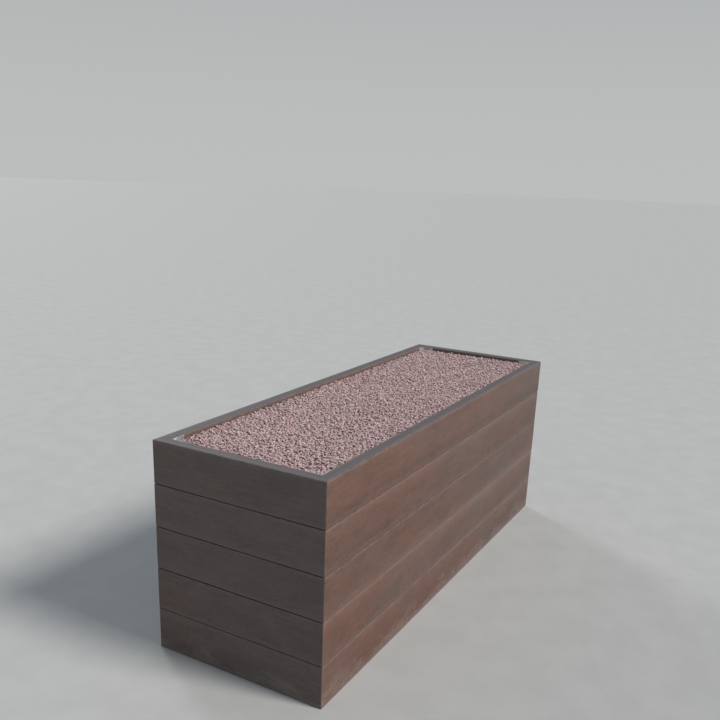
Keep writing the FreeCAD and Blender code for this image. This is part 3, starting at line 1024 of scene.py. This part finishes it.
@dataclass
class WallBoards:
    """The four walls: five courses of tongued and grooved boards, mitred at the corners.

    Attributes:
        arris: the rounding of a board's edges.
        rim_round: the rounding of the rim's edges.
        corner_round: the rounding of the box's vertical corners.
        mitre_gap: the open joint at a mitred corner.
        tongue_thick: the thickness of a tongue.
        tongue_high: how far it stands up.
        tongue_round: the rounding of its edges.
        tongue_clear: the room round it in the groove.
        stray: how far a board may stand back from its line.
        outward_share: how much of that it may stand out from it.
        shade: how much a board's tone may stray.
        courses: boards in each wall's height.
        upper_painted_light: painted light on each course's upper edge, how much lighter it is, from the
            lowest course up.
        lower_painted_light: the same for its lower edge; a negative value paints shade.
        end_painted_light_share: how much of that painted light and shade the short walls show.
        front_joint_shadow: how dark the painted shade in the front wall's joints is.
        other_joint_shadow: how dark the painted shade in the other joints is.
        long_warmth: how red brown the long walls' boards are, at their left and right ends.
        end_shade_warmth: the same for the short walls, painted greyer with the cool colour of shade.
        seed: picks the boards' shades.
    """

    arris: float = 3.0 * MM
    rim_round: float = 4.5 * MM
    corner_round: float = 3.0 * MM
    mitre_gap: float = 0.6 * MM
    tongue_thick: float = 12.0 * MM
    tongue_high: float = 9.0 * MM
    tongue_round: float = 2.0 * MM
    tongue_clear: float = 0.5 * MM
    stray: float = 0.5 * MM
    outward_share: float = 0.4
    shade: float = 0.05
    courses: int = 5
    upper_painted_light: tuple[float, ...] = (0.24, 0.34, 0.04, 0.29, 0.02)
    lower_painted_light: tuple[float, ...] = (0.10, -0.08, 0.16, -0.12, -0.26)
    end_painted_light_share: float = 0.15
    front_joint_shadow: float = 0.2
    other_joint_shadow: float = 0.92
    long_warmth: tuple[float, float] = (0.85, 0.45)
    end_shade_warmth: tuple[float, float] = (0.25, 0.05)
    seed: int = 11

    def section(self, course: int, low: float, high: float, thick: float, gap: float) -> list:
        """Return the corners of one course's cross-section.

        Args:
            course: 1 for the lowest.
            low: height of the board's lower edge.
            high: height of its upper edge, without the tongue.
            thick: the board's thickness.
            gap: the open joint below the next course.

        Returns:
            (depth, height, radius) corners in order.
        """
        middle = thick / 2
        tongue = self.tongue_thick / 2
        groove = tongue + self.tongue_clear
        deep = self.tongue_high - gap + self.tongue_clear
        top = course == self.courses
        upper = self.rim_round if top else self.arris
        corners = [(0.0, low, self.arris)]
        if course > 1:
            corners += [(middle - groove, low, 0.0), (middle - groove, low + deep, self.tongue_round)]
            corners += [(middle + groove, low + deep, self.tongue_round), (middle + groove, low, 0.0)]
        corners += [(thick, low, self.arris), (thick, high, upper)]
        if not top:
            crest = high + self.tongue_high
            corners += [(middle + tongue, high, 0.0), (middle + tongue, crest, self.tongue_round)]
            corners += [(middle - tongue, crest, self.tongue_round), (middle - tongue, high, 0.0)]
        corners.append((0.0, high, upper))
        return corners

    def build(self, material: Material) -> list[Piece]:
        """Make the twenty boards.

        Args:
            material: the composite finish.

        Returns:
            The pieces.
        """
        random = np.random.default_rng(self.seed)
        (left, front, _), (right, back, _) = CAD_BOX
        top_low, top_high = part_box(f"front_board_{self.courses}")
        board_high = top_high.z - top_low.z
        thick = top_high.y - top_low.y
        gap = top_low.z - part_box(f"front_board_{self.courses - 1}")[0].z - board_high
        pieces = []
        for side in WallSide:
            prefix, quarter = side.value
            lengthwise = quarter % 2 == 0
            run = right - left if lengthwise else back - front
            reach = (back - front if lengthwise else right - left) / 2
            placing = Matrix.Rotation(quarter * math.pi / 2, 4, "Z") @ Matrix.Translation((0, -reach, 0))
            # the painted light along the courses' edges shows mostly on the long walls; the short walls get
            # a small share
            painted_light_share = 1.0 if lengthwise else self.end_painted_light_share
            for course in range(1, self.courses + 1):
                node = f"{prefix}_{course}"
                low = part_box(node)[0].z
                plank = Plank(
                    name=node.replace("board", "plank"),
                    corners=self.section(course, low, low + board_high, thick, gap),
                    run=run,
                    seed=100 * quarter + course,
                    mitre=1.0,
                    mitre_gap=self.mitre_gap,
                    corner_round=self.corner_round,
                    tone=random.uniform(-self.shade, self.shade),
                    top_painted_light=self.upper_painted_light[course - 1] * painted_light_share,
                    foot_painted_light=self.lower_painted_light[course - 1] * painted_light_share,
                    # painted shade: the short walls are painted greyer, the cool colour that shade gives
                    # them
                    warmth=self.long_warmth if lengthwise else self.end_shade_warmth,
                    thick=thick,
                    # painted shade in the joints, weak on the front wall where light reaches into them
                    joint_shadow=self.front_joint_shadow if side is WallSide.FRONT else self.other_joint_shadow,
                    proud=random.uniform(-self.stray, self.stray * self.outward_share),
                    rim_up=low + board_high / 2 if course == self.courses else None,
                )
                pieces.append(plank.dress(placing, node, material))
        return pieces


@dataclass
class FloorBoards:
    """The slatted floor and the three bearers under it, square cut from the same stock.

    Attributes:
        edge_round: the rounding of every edge.
        boards: how many boards lie on the bearers.
        board_seed: picks the boards' waviness and shade, with their number.
        bearer_seed: the same for the bearers.
        shade: how much a board's tone may stray.
        waviness: how far a face strays from flat.
        station: the distance between stations along a board.
        face_step: the longest stretch between points round its section.
        arc_steps: segments in each rounded edge.
    """

    edge_round: float = 2.0 * MM
    boards: int = 12
    board_seed: int = 700
    bearer_seed: int = 800
    shade: float = 0.08
    waviness: float = 0.15 * MM
    station: float = 20 * MM
    face_step: float = 14 * MM
    arc_steps: int = 3

    def bar(self, node: str, along_x: bool, seed: int, material: Material) -> Piece:
        """Make one square-cut bar in the place of a node.

        Args:
            node: the design's node.
            along_x: True if the bar runs along the planter.
            seed: picks its waviness.
            material: its finish.

        Returns:
            The piece.
        """
        low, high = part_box(node)
        size = high - low
        run, wide = (size.x, size.y) if along_x else (size.y, size.x)
        radius = self.edge_round
        corners = [(0, 0, radius), (wide, 0, radius), (wide, size.z, radius), (0, size.z, radius)]
        plank = Plank(
            name=node.replace("board", "plank").replace("bearer", "batten"),
            corners=corners,
            run=run,
            seed=seed,
            tone=float(np.random.default_rng(seed).uniform(-self.shade, self.shade)),
            waviness=self.waviness,
            station=self.station,
            face_step=self.face_step,
            arc_steps=self.arc_steps,
        )
        middle = (low + high) / 2
        if along_x:
            placing = Matrix.Translation((middle.x, low.y, low.z))
        else:
            placing = Matrix.Translation((high.x, middle.y, low.z)) @ Matrix.Rotation(math.pi / 2, 4, "Z")
        return plank.dress(placing, node, material)

    def build(self, material: Material) -> list[Piece]:
        """Make the floor boards and bearers.

        Args:
            material: the composite finish.

        Returns:
            The pieces.
        """
        pieces = []
        for index in range(1, self.boards + 1):
            pieces.append(self.bar(f"floor_board_{index:02d}", False, self.board_seed + index, material))
        for index, side in enumerate(("front", "middle", "back")):
            pieces.append(self.bar(f"bearer_{side}", True, self.bearer_seed + index, material))
        return pieces


# ---------------------------------------------------------------- filling


@dataclass
class StandingSteel:
    """Where the legs of the angles stand in the filling, seen from above.

    Attributes:
        thick: the thickness of a leg.
        clear: the room left round it.
    """

    thick: float = 5.0 * MM
    clear: float = 0.3 * MM

    def legs(self, height: float) -> list[tuple[float, float, float, float]]:
        """Find the legs that cross a height.

        Args:
            height: the height of the cut, in metres.

        Returns:
            (low x, low y, high x, high y) of each leg, grown by the room round it.
        """
        found = []
        wide = self.thick + self.clear
        for node in sorted(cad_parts):
            if not node.startswith(("corner_post", "upright")):
                continue
            low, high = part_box(node)
            if not low.z < height < high.z:
                continue
            left, right, front, back = low.x, high.x, low.y, high.y
            heel_left = (left < 0) == node.startswith("corner_post")
            heel_front = front < 0
            across = (left - self.clear, left + wide) if heel_left else (right - wide, right + self.clear)
            along = (front - self.clear, front + wide) if heel_front else (back - wide, back + self.clear)
            found.append((across[0], front - self.clear, across[1], back + self.clear))
            found.append((left - self.clear, along[0], right + self.clear, along[1]))
        return found

    def covers(self, xs: np.ndarray, ys: np.ndarray, height: float) -> np.ndarray:
        """Find which places of a grid a leg stands on.

        Args:
            xs: the grid's places along X.
            ys: its places along Y.
            height: the height of the cut, in metres.

        Returns:
            True where a leg stands.
        """
        taken = np.zeros((len(xs), len(ys)), bool)
        for left, front, right, back in self.legs(height):
            taken |= ((xs > left) & (xs < right))[:, None] & ((ys > front) & (ys < back))[None, :]
        return taken

    def lines(self, start: float, end: float, step: float, edges: set[float]) -> np.ndarray:
        """Divide a length evenly, but for lines that run exactly along the legs.

        Args:
            start: one end.
            end: the other end.
            step: the usual distance between lines.
            edges: where the legs' edges lie.

        Returns:
            The lines' places, in order.
        """
        fixed = [start, *(edge for edge in sorted(edges) if start + MM < edge < end - MM), end]
        places = [start]
        for low, high in zip(fixed, fixed[1:]):
            pieces = max(1, round((high - low) / step))
            places.extend(low + (high - low) * share / pieces for share in range(1, pieces + 1))
        return np.array(places)

    def layer(self, low: Vector, high: Vector, step: float) -> tuple[np.ndarray, np.ndarray, np.ndarray]:
        """Divide a layer of the filling into cells and leave out those where a leg stands.

        Args:
            low: the layer's lowest corner.
            high: its highest corner.
            step: the usual size of a cell.

        Returns:
            The lines along X, the lines along Y, and which cells are filled.
        """
        middle = (low.z + high.z) / 2
        legs = self.legs(middle)
        xs = self.lines(low.x, high.x, step, {edge for leg in legs for edge in (leg[0], leg[2])})
        ys = self.lines(low.y, high.y, step, {edge for leg in legs for edge in (leg[1], leg[3])})
        filled = ~self.covers((xs[1:] + xs[:-1]) / 2, (ys[1:] + ys[:-1]) / 2, middle)
        return xs, ys, filled


def sheet_faces(filled: np.ndarray, columns: int, start: int, upward: bool) -> list[tuple[int, ...]]:
    """Make one face for each filled cell of a grid.

    Args:
        filled: which cells are filled.
        columns: points in one row of the grid.
        start: number of the grid's first point.
        upward: whether the faces look up.

    Returns:
        The faces.
    """
    faces = []
    for i, j in zip(*np.nonzero(filled)):
        a = start + int(i) * columns + int(j)
        face = (a, a + columns, a + columns + 1, a + 1)
        faces.append(face if upward else face[::-1])
    return faces


def skirt_faces(filled: np.ndarray, columns: int, drop: int) -> list[tuple[int, ...]]:
    """Make the upright faces round the filled cells of a grid.

    Args:
        filled: which cells are filled.
        columns: points in one row of the grid.
        drop: how far the lower grid's numbers are above the upper grid's.

    Returns:
        The faces.
    """
    framed = np.pad(filled, 1)
    sides = (
        ((-1, 0), (0, 0), (0, 1)),
        ((1, 0), (1, 1), (1, 0)),
        ((0, -1), (1, 0), (0, 0)),
        ((0, 1), (0, 1), (1, 1)),
    )
    faces = []
    for i, j in zip(*np.nonzero(filled)):
        for (next_i, next_j), first, second in sides:
            if framed[i + 1 + next_i, j + 1 + next_j]:
                continue
            a = (int(i) + first[0]) * columns + int(j) + first[1]
            b = (int(i) + second[0]) * columns + int(j) + second[1]
            faces.append((a, b, b + drop, a + drop))
    return faces


@dataclass
class Stone:
    """One crushed stone's shape: a convex block with broken faces, about 1 across.

    Attributes:
        points: its corners.
        faces: its triangles.
        CORNERS: how many corners a block is broken to.
        BLUNTNESS: how far its corners stand from the middle, before it is flattened.
        BREADTH: its breadth for a length of 1.
        THICKNESS: its thickness for a length of 1.
        MAP_RADIUS: the size of its skin's disc on the map.
        MAP_CORNER: where the faces that it lies on go, beside the disc.
        MAP_EDGE: how far from straight down a corner points at least, for its place on the disc.
        MAP_LEAST: the size on the disc below which a face is put beside it.
        LEVEL: a face's rise that counts as none.
    """

    points: np.ndarray
    faces: np.ndarray
    CORNERS: ClassVar[tuple[int, int]] = (11, 16)
    BLUNTNESS: ClassVar[tuple[float, float]] = (0.82, 1.0)
    BREADTH: ClassVar[tuple[float, float]] = (0.66, 0.95)
    THICKNESS: ClassVar[tuple[float, float]] = (0.42, 0.7)
    MAP_RADIUS: ClassVar[float] = 0.31
    MAP_CORNER: ClassVar[tuple[tuple[float, float], ...]] = ((0.04, 0.04), (0.14, 0.04), (0.04, 0.14))
    MAP_EDGE: ClassVar[float] = 0.02
    MAP_LEAST: ClassVar[float] = 1e-4
    LEVEL: ClassVar[float] = 1e-12

    @classmethod
    def broken(cls, random: np.random.Generator) -> "Stone":
        """Break a new stone.

        Args:
            random: the source of chance.

        Returns:
            The stone.
        """
        corners = random.normal(size=(int(random.integers(*cls.CORNERS)), 3))
        corners /= np.linalg.norm(corners, axis=1, keepdims=True)
        corners *= random.uniform(*cls.BLUNTNESS, (len(corners), 1))
        corners *= np.array([1.0, random.uniform(*cls.BREADTH), random.uniform(*cls.THICKNESS)]) / 2
        work = bmesh.new()
        for corner in corners:
            work.verts.new(corner)
        hull = bmesh.ops.convex_hull(work, input=work.verts)
        inside = {item for item in hull["geom_interior"] if isinstance(item, bmesh.types.BMVert)}
        bmesh.ops.delete(work, geom=list(inside), context="VERTS")
        bmesh.ops.triangulate(work, faces=work.faces)
        bmesh.ops.recalc_face_normals(work, faces=work.faces)
        work.verts.index_update()
        points = np.array([vert.co[:] for vert in work.verts])
        faces = np.array([[vert.index for vert in face.verts] for face in work.faces])
        work.free()
        return cls(points - points.mean(axis=0), faces)

    def skin_map(self) -> np.ndarray:
        """Lay the skin out on a disc, seen from above, with the face it lies on put beside the disc.

        Returns:
            A place on the unit square for each corner of each face.
        """
        spoke = self.points / np.linalg.norm(self.points, axis=1, keepdims=True)
        spread = np.sqrt(np.maximum(1 + spoke[:, 2:3], self.MAP_EDGE))
        disc = 0.5 + self.MAP_RADIUS * spoke[:, :2] / spread
        corners = disc[self.faces]
        sides = corners[:, 1:] - corners[:, :1]
        turned = sides[:, 0, 0] * sides[:, 1, 1] - sides[:, 0, 1] * sides[:, 1, 0]
        corners[turned < self.MAP_LEAST] = self.MAP_CORNER
        return corners

    def outside(self, turn: np.ndarray, pitch: float) -> tuple[np.ndarray, np.ndarray, np.ndarray]:
        """Work out the stone's underside and top over a grid.

        Args:
            turn: its rotation and scale.
            pitch: the grid's pitch.

        Returns:
            How many cells it reaches each way, and the heights of its underside and of its top.
        """
        corners = self.points @ turn.T
        triangles = corners[self.faces]
        normals = np.cross(triangles[:, 1] - triangles[:, 0], triangles[:, 2] - triangles[:, 0])
        cells = np.ceil(np.abs(corners[:, :2]).max(axis=0) / pitch).astype(int)
        gx = (np.arange(-cells[0], cells[0] + 1) * pitch)[None, :, None]
        gy = (np.arange(-cells[1], cells[1] + 1) * pitch)[None, None, :]
        rise = np.where(np.abs(normals[:, 2]) < self.LEVEL, self.LEVEL, normals[:, 2])
        offset = (normals * triangles[:, 0]).sum(axis=1) / rise
        planes = offset[:, None, None] - (normals[:, 0] / rise)[:, None, None] * gx
        planes = planes - (normals[:, 1] / rise)[:, None, None] * gy
        return cells, planes[rise < 0].max(axis=0), planes[rise > 0].min(axis=0)


class StoneTint(Enum):
    """The colours of the crushed stone, and how common each is."""

    ROSE = ((0.57, 0.400, 0.400), 0.27)
    PINK_GREY = ((0.55, 0.395, 0.400), 0.22)
    PALE_ROSE = ((0.60, 0.430, 0.430), 0.16)
    DULL_ROSE = ((0.53, 0.365, 0.365), 0.13)
    GREY = ((0.53, 0.415, 0.425), 0.11)
    CREAM = ((0.62, 0.495, 0.490), 0.06)
    BROWN = ((0.49, 0.345, 0.345), 0.05)


@dataclass
class Lying:
    """One stone where it lies.

    Attributes:
        stone: its shape.
        turn: its rotation and scale.
        place: its middle.
    """

    stone: Stone
    turn: np.ndarray
    place: np.ndarray


@dataclass
class GravelMulch:
    """The dressing of crushed stone: every stone is dropped where it comes to rest lowest.

    Attributes:
        smallest: the smallest stone, across its longest way.
        largest: the largest stone.
        layer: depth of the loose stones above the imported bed.
        shapes: how many different stones are broken.
        tries: places tried for each stone.
        layers: how many pieces the loose stones are kept in, from the lowest up.
        plenty: stones broken per stone that a single course would take.
        pitch: grid on which resting heights are worked out.
        peak: how far the highest stone may stand above the top of the mulch's node.
        slant: how far a stone may lie from level, in radians.
        grading: how the sizes lean, as the two numbers of a beta distribution.
        shade: how much darker or lighter a stone is than its kind.
        hue: how much each part of its colour strays.
        bed_step: the bed's grid.
        bed_drop: how uneven the bed is.
        bed_lengths: the shortest and longest waves in it.
        bed_waves: how many of them there are.
        bed_seed: picks them.
        blocked: a height that no stone can reach.
        seed: picks the stones, where they lie and their colours.
    """

    smallest: float = 8.0 * MM
    largest: float = 19.0 * MM
    layer: float = 12.0 * MM
    shapes: int = 36
    tries: int = 7
    layers: int = 4
    plenty: float = 4.2
    pitch: float = 1.25 * MM
    peak: float = 9.0 * MM
    slant: float = 0.2
    grading: tuple[float, float] = (1.6, 2.6)
    shade: tuple[float, float] = (0.94, 1.06)
    hue: tuple[float, float] = (0.98, 1.02)
    bed_step: float = 12.0 * MM
    bed_drop: float = 1.2 * MM
    bed_lengths: tuple[float, float] = (0.02, 0.2)
    bed_waves: int = 12
    bed_seed: int = 77
    blocked: float = 9.0
    seed: int = 5

    def palette(self, random: np.random.Generator, count: int) -> np.ndarray:
        """Choose the stones' colours.

        Args:
            random: the source of chance.
            count: how many stones.

        Returns:
            One linear colour and alpha per stone.
        """
        kinds = np.array([tint.value[0] for tint in StoneTint])
        weights = [tint.value[1] for tint in StoneTint]
        chosen = kinds[random.choice(len(kinds), count, p=weights)]
        chosen = chosen * random.uniform(*self.shade, (count, 1)) * random.uniform(*self.hue, (count, 3))
        return np.concatenate([chosen, np.ones((count, 1))], axis=1)

    def ground(self, low: Vector, high: Vector) -> np.ndarray:
        """Start the map of resting heights.

        Args:
            low: lowest corner of the mulch.
            high: highest corner of the mulch.

        Returns:
            Heights on a grid, huge where steel stands and no stone can lie.
        """
        xs = np.arange(low.x + self.pitch / 2, high.x, self.pitch)
        ys = np.arange(low.y + self.pitch / 2, high.y, self.pitch)
        return np.where(StandingSteel().covers(xs, ys, high.z - MM), self.blocked, high.z - self.layer)

    def spot(self, random: np.random.Generator, places: int, reach: int) -> int:
        """Choose a stone's middle along one side of the grid, as often against the walls as elsewhere."""
        wanted = int(random.integers(-reach // 2, places + reach // 2))
        return min(max(wanted, reach), places - reach - 1)

    def turn(self, random: np.random.Generator) -> np.ndarray:
        """Choose how large a stone is and how it lies.

        Args:
            random: the source of chance.

        Returns:
            Its rotation and scale.
        """
        size = self.smallest * (self.largest / self.smallest) ** random.beta(*self.grading)
        over_x = Matrix.Rotation(random.normal() * self.slant, 3, "X")
        over_y = Matrix.Rotation(random.normal() * self.slant, 3, "Y")
        return np.array(Matrix.Rotation(random.uniform(0, FULL_TURN), 3, "Z") @ over_x @ over_y) * size

    def drop(self, random: np.random.Generator, low: Vector, high: Vector) -> list[Lying]:
        """Drop stones until the layer is full.

        Args:
            random: the source of chance.
            low: lowest corner of the mulch.
            high: highest corner of the mulch.

        Returns:
            The stones where they lie.
        """
        heights = self.ground(low, high)
        stones = [Stone.broken(random) for _ in range(self.shapes)]
        lying = []
        missed = 0
        area = (high.x - low.x) * (high.y - low.y)
        for _ in range(int(self.plenty * area / (self.smallest * self.largest))):
            stone = stones[int(random.integers(self.shapes))]
            turn = self.turn(random)
            cells, under, over = stone.outside(turn, self.pitch)
            solid = over > under
            if not solid.any():
                continue
            under = np.where(solid, under, self.blocked)
            best = None
            for _ in range(self.tries):
                ix = self.spot(random, heights.shape[0], int(cells[0]))
                iy = self.spot(random, heights.shape[1], int(cells[1]))
                window = heights[ix - cells[0] : ix + cells[0] + 1, iy - cells[1] : iy + cells[1] + 1]
                rest = (window - under).max()
                if best is None or rest < best[0]:
                    best = (rest, ix, iy, window)
            rest, ix, iy, window = best
            if rest + (stone.points @ turn.T)[:, 2].max() > high.z + self.peak:
                missed += 1
                continue
            np.maximum(window, np.where(solid, over + rest, -self.blocked), out=window)
            place = np.array([low.x + (ix + 0.5) * self.pitch, low.y + (iy + 0.5) * self.pitch, rest])
            lying.append(Lying(stone, turn, place))
        level = heights[heights < self.blocked / 2].mean()
        LOG.info("mulch: %d stones lie, %d would not fit, level %.4f m", len(lying), missed, level)
        return lying

    def loose(self, name: str, lying: list[Lying], tints: np.ndarray, material: Material) -> Piece:
        """Make one layer of loose stones, each on its own square of the layer's map.

        Args:
            name: the piece's name.
            lying: its stones.
            tints: their colours.
            material: the stone finish.

        Returns:
            The piece.
        """
        points = []
        faces = []
        maps = []
        start = 0
        grid = math.ceil(math.sqrt(len(lying)))
        for index, item in enumerate(lying):
            points.append(item.stone.points @ item.turn.T + item.place)
            faces.append(item.stone.faces + start)
            square = np.array([index % grid, index // grid])
            maps.append(((item.stone.skin_map() + square) / grid).reshape(-1, 2))
            start += len(item.stone.points)
        piece = new_piece(name, np.concatenate(points), np.concatenate(faces).tolist())
        mesh = piece.data
        colours = np.repeat(tints, [len(item.stone.faces) for item in lying], axis=0)
        add_attribute(mesh, "tint", "FLOAT_COLOR", "FACE", colours)
        add_skin_map(mesh, np.concatenate(maps))
        mesh.materials.append(material)
        return piece

    def bed(self, low: Vector, high: Vector, material: Material) -> Piece:
        """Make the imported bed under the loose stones.

        Args:
            low: lowest corner of the mulch.
            high: highest corner of the mulch.
            material: the loose fill finish.

        Returns:
            The piece.
        """
        xs, ys, filled = StandingSteel().layer(low, high, self.bed_step)
        gx, gy = np.meshgrid(xs, ys, indexing="ij")
        top = high.z - self.layer - self.bed_drop
        ripple = Ripple(self.bed_seed, self.bed_drop, *self.bed_lengths, self.bed_waves)
        surface = ripple.height(gx, gy) + top
        upper = np.stack([gx, gy, surface], axis=-1).reshape(-1, 3)
        lower = np.stack([gx, gy, np.full(gx.shape, low.z)], axis=-1).reshape(-1, 3)
        columns = len(ys)
        faces = sheet_faces(filled, columns, 0, True) + sheet_faces(filled, columns, len(upper), False)
        faces += skirt_faces(filled, columns, len(upper))
        points = np.concatenate([upper, lower])
        piece = new_piece("mulch_bed", points, faces, ("gravel_mulch",))
        drop_loose_points(piece.data)
        piece.data.materials.append(material)
        return piece

    def build(self, stone_material: Material, bed_material: Material) -> list[Piece]:
        """Make the bed and the layers of loose stone.

        Args:
            stone_material: the crushed stone finish.
            bed_material: the finish of the bed.

        Returns:
            The pieces.
        """
        random = np.random.default_rng(self.seed)
        low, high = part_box("gravel_mulch")
        lying = sorted(self.drop(random, low, high), key=lambda item: item.place[2])
        tints = self.palette(random, len(lying))
        pieces = [self.bed(low, high, bed_material)]
        share = math.ceil(len(lying) / self.layers)
        for index in range(self.layers):
            part = slice(index * share, (index + 1) * share)
            pieces.append(self.loose(f"mulch_layer_{index + 1}", lying[part], tints[part], stone_material))
        return pieces


@dataclass
class FilterFleece:
    """The sheet of fleece laid between the drainage stone and the soil.

    Attributes:
        thick: its thickness.
        wave: how far it strays from flat.
        wave_lengths: its shortest and longest waves.
        step: the grid it is made on.
        seed: picks its waves.
    """

    thick: float = 1.2 * MM
    wave: float = 0.2 * MM
    wave_lengths: tuple[float, float] = (0.08, 0.5)
    step: float = 20.0 * MM
    seed: int = 31

    def build(self, material: Material) -> Piece:
        """Make the fleece.

        Args:
            material: the fleece finish.

        Returns:
            The piece.
        """
        low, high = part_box("filter_fleece")
        xs, ys, filled = StandingSteel().layer(low, high, self.step)
        gx, gy = np.meshgrid(xs, ys, indexing="ij")
        surface = Ripple(self.seed, self.wave, *self.wave_lengths).height(gx, gy) + (low.z + high.z) / 2
        points = np.stack([gx, gy, surface], axis=-1).reshape(-1, 3)
        faces = sheet_faces(filled, len(ys), 0, True)
        piece = new_piece("fleece_sheet", points, faces, ("filter_fleece",))
        drop_loose_points(piece.data)
        piece.data.shade_smooth()
        piece.data.materials.append(material)
        skin = piece.modifiers.new("thickness", "SOLIDIFY")
        skin.thickness = self.thick
        skin.offset = 0.0
        return piece


# ---------------------------------------------------------------- carried-over nodes


def dress_nodes(prefixes: tuple[str, ...], material: Material) -> None:
    """Give a finish to the design's own nodes.

    Args:
        prefixes: how their names begin.
        material: the finish.
    """
    for name, node in sorted(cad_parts.items()):
        if name.startswith(prefixes) and not node.hide_render:
            node.data.materials.clear()
            node.data.materials.append(material)
            LOG.info("%s: finish %s", name, material.name)


# ---------------------------------------------------------------- studio


@dataclass(frozen=True)
class Lamp:
    """One large soft lamp, far away.

    Attributes:
        name: its name.
        towards: the way from the planter to the lamp.
        strength: its strength.
        colour: its colour.
        softness: how wide it looks, in degrees.
    """

    name: str
    towards: tuple[float, float, float]
    strength: float
    colour: Colour
    softness: float = 16.0

    def hang(self) -> None:
        """Hang the lamp."""
        data = bpy.data.lights.new(self.name, "SUN")
        data.angle = math.radians(self.softness)
        data.energy = self.strength
        data.color = self.colour
        lamp = bpy.data.objects.new(self.name, data)
        lamp.rotation_euler = Vector(self.towards).to_track_quat("Z", "Y").to_euler()
        bpy.context.scene.collection.objects.link(lamp)


@dataclass
class Studio:
    """The floor, the soft lights and the camera.

    Attributes:
        eye: the camera's place.
        gaze: the way it looks.
        level: its own rightward axis, which sets its slight roll.
        lens: focal length, in millimetres.
        sensor: width of the picture behind the lens, in millimetres.
        far: how far the camera sees.
        shift: how far the picture is shifted up, as a share of its width.
        floor_radius: the radius of the round floor.
        floor_sides: how many sides it is drawn with.
        horizon: the light at floor level.
        zenith: the light overhead.
        zenith_height: where the zenith's colour begins, as a share of the way up.
        lamps: the two lamps.
    """

    eye: tuple[float, float, float] = (-2.5584, -1.3050, 1.4425)
    gaze: tuple[float, float, float] = (0.8348, 0.46034, -0.30197)
    level: tuple[float, float, float] = (0.49283, -0.86933, 0.03718)
    lens: float = 40.348
    sensor: float = 36.0
    far: float = 200.0
    shift: float = 0.10
    floor_radius: float = 90.0
    floor_sides: int = 96
    horizon: Colour = (0.50, 0.51, 0.505)
    zenith: Colour = (0.18, 0.225, 0.27)
    zenith_height: float = 0.75
    lamps: tuple[Lamp, ...] = (
        Lamp("key", (0.14, -1.0, 0.85), 3.0, (1.0, 0.965, 0.93)),
        Lamp("back", (0.6, 1.0, 0.5), 1.0, (0.96, 0.98, 1.0)),
    )

    def camera(self) -> None:
        """Set up the camera."""
        data = bpy.data.cameras.new("camera")
        data.lens = self.lens
        data.sensor_width = self.sensor
        data.shift_y = self.shift
        data.clip_end = self.far
        camera = bpy.data.objects.new("camera", data)
        bpy.context.scene.collection.objects.link(camera)
        ahead = Vector(self.gaze).normalized()
        right = Vector(self.level)
        right = (right - ahead * right.dot(ahead)).normalized()
        up = right.cross(ahead)
        turn = Matrix((right, up, -ahead)).transposed().to_4x4()
        camera.matrix_world = Matrix.Translation(self.eye) @ turn
        bpy.context.scene.camera = camera

    def floor(self, material: Material) -> None:
        """Lay the floor.

        Args:
            material: its finish.
        """
        mesh = bpy.data.meshes.new("floor")
        work = bmesh.new()
        bmesh.ops.create_circle(work, cap_ends=True, segments=self.floor_sides, radius=self.floor_radius)
        work.to_mesh(mesh)
        work.free()
        floor = bpy.data.objects.new("floor", mesh)
        bpy.context.scene.collection.objects.link(floor)
        mesh.materials.append(material)

    def sky(self) -> None:
        """Surround the studio with soft light, pale at floor level and cooler and dimmer overhead."""
        world = bpy.data.worlds.new("studio")
        world.use_nodes = True
        tree = world.node_tree
        place = tree.nodes.new("ShaderNodeTexCoord")
        parts = tree.nodes.new("ShaderNodeSeparateXYZ")
        ramp = tree.nodes.new("ShaderNodeValToRGB")
        tree.links.new(place.outputs["Generated"], parts.inputs[0])
        tree.links.new(parts.outputs["Z"], ramp.inputs["Fac"])
        tree.links.new(ramp.outputs["Color"], tree.nodes["Background"].inputs["Color"])
        ramp.color_ramp.interpolation = "EASE"
        ramp.color_ramp.elements[0].color = (*self.horizon, 1.0)
        ramp.color_ramp.elements[1].color = (*self.zenith, 1.0)
        ramp.color_ramp.elements[1].position = self.zenith_height
        tree.nodes["Background"].inputs["Strength"].default_value = 1.0
        bpy.context.scene.world = world

    def build(self) -> None:
        """Set up the whole studio."""
        self.camera()
        self.floor(PaleFloorFinish("pale_floor").build())
        self.sky()
        for lamp in self.lamps:
            lamp.hang()
        bpy.context.scene.view_settings.view_transform = "Standard"
        LOG.info("studio ready")


def main() -> None:
    """Build the planter's looks, piece by piece, and the studio round it."""
    logging.basicConfig(level=logging.INFO, format="%(name)s %(message)s")
    Studio().build()
    wall_finish = CompositeFinish("composite_board").build()
    # painted shade: the floor boards and bearers inside the box get a darker copy of the board finish
    floor_shaded_finish = CompositeFinish(
        "floor_composite_shaded",
        red_brown=(0.060, 0.046, 0.040),
        grey_brown=(0.052, 0.047, 0.043),
        rubbed=(0.10, 0.085, 0.078),
    ).build()
    WallBoards().build(wall_finish)
    FloorBoards().build(floor_shaded_finish)
    stone_finish = CrushedStoneFinish("crushed_stone").build()
    bed_finish = LooseFillFinish("packed_stone", (0.56, 0.41, 0.405), (0.34, 0.245, 0.24), 9 * MM).build()
    GravelMulch().build(stone_finish, bed_finish)
    FilterFleece().build(FleeceFinish("fleece").build())
    dress_nodes(("corner_post", "upright", "cross_tie"), GalvanisedFinish("galvanised").build())
    zinc = ZincPlateFinish("zinc_plate").build()
    dress_nodes(("front_screws", "back_screws", "left_end_screws", "right_end_screws"), zinc)
    dress_nodes(("floor_screws", "bearer_screws", "tie_bolts", "tie_nuts", "tie_washers"), zinc)
    soil = LooseFillFinish("planting_soil", (0.075, 0.050, 0.036), (0.020, 0.014, 0.010), 6 * MM).build()
    dress_nodes(("soil",), soil)
    stone = LooseFillFinish("drainage_gravel", (0.36, 0.34, 0.31), (0.12, 0.11, 0.10), 22 * MM).build()
    dress_nodes(("drainage_stone",), stone)


if __name__ == "__main__":
    main()
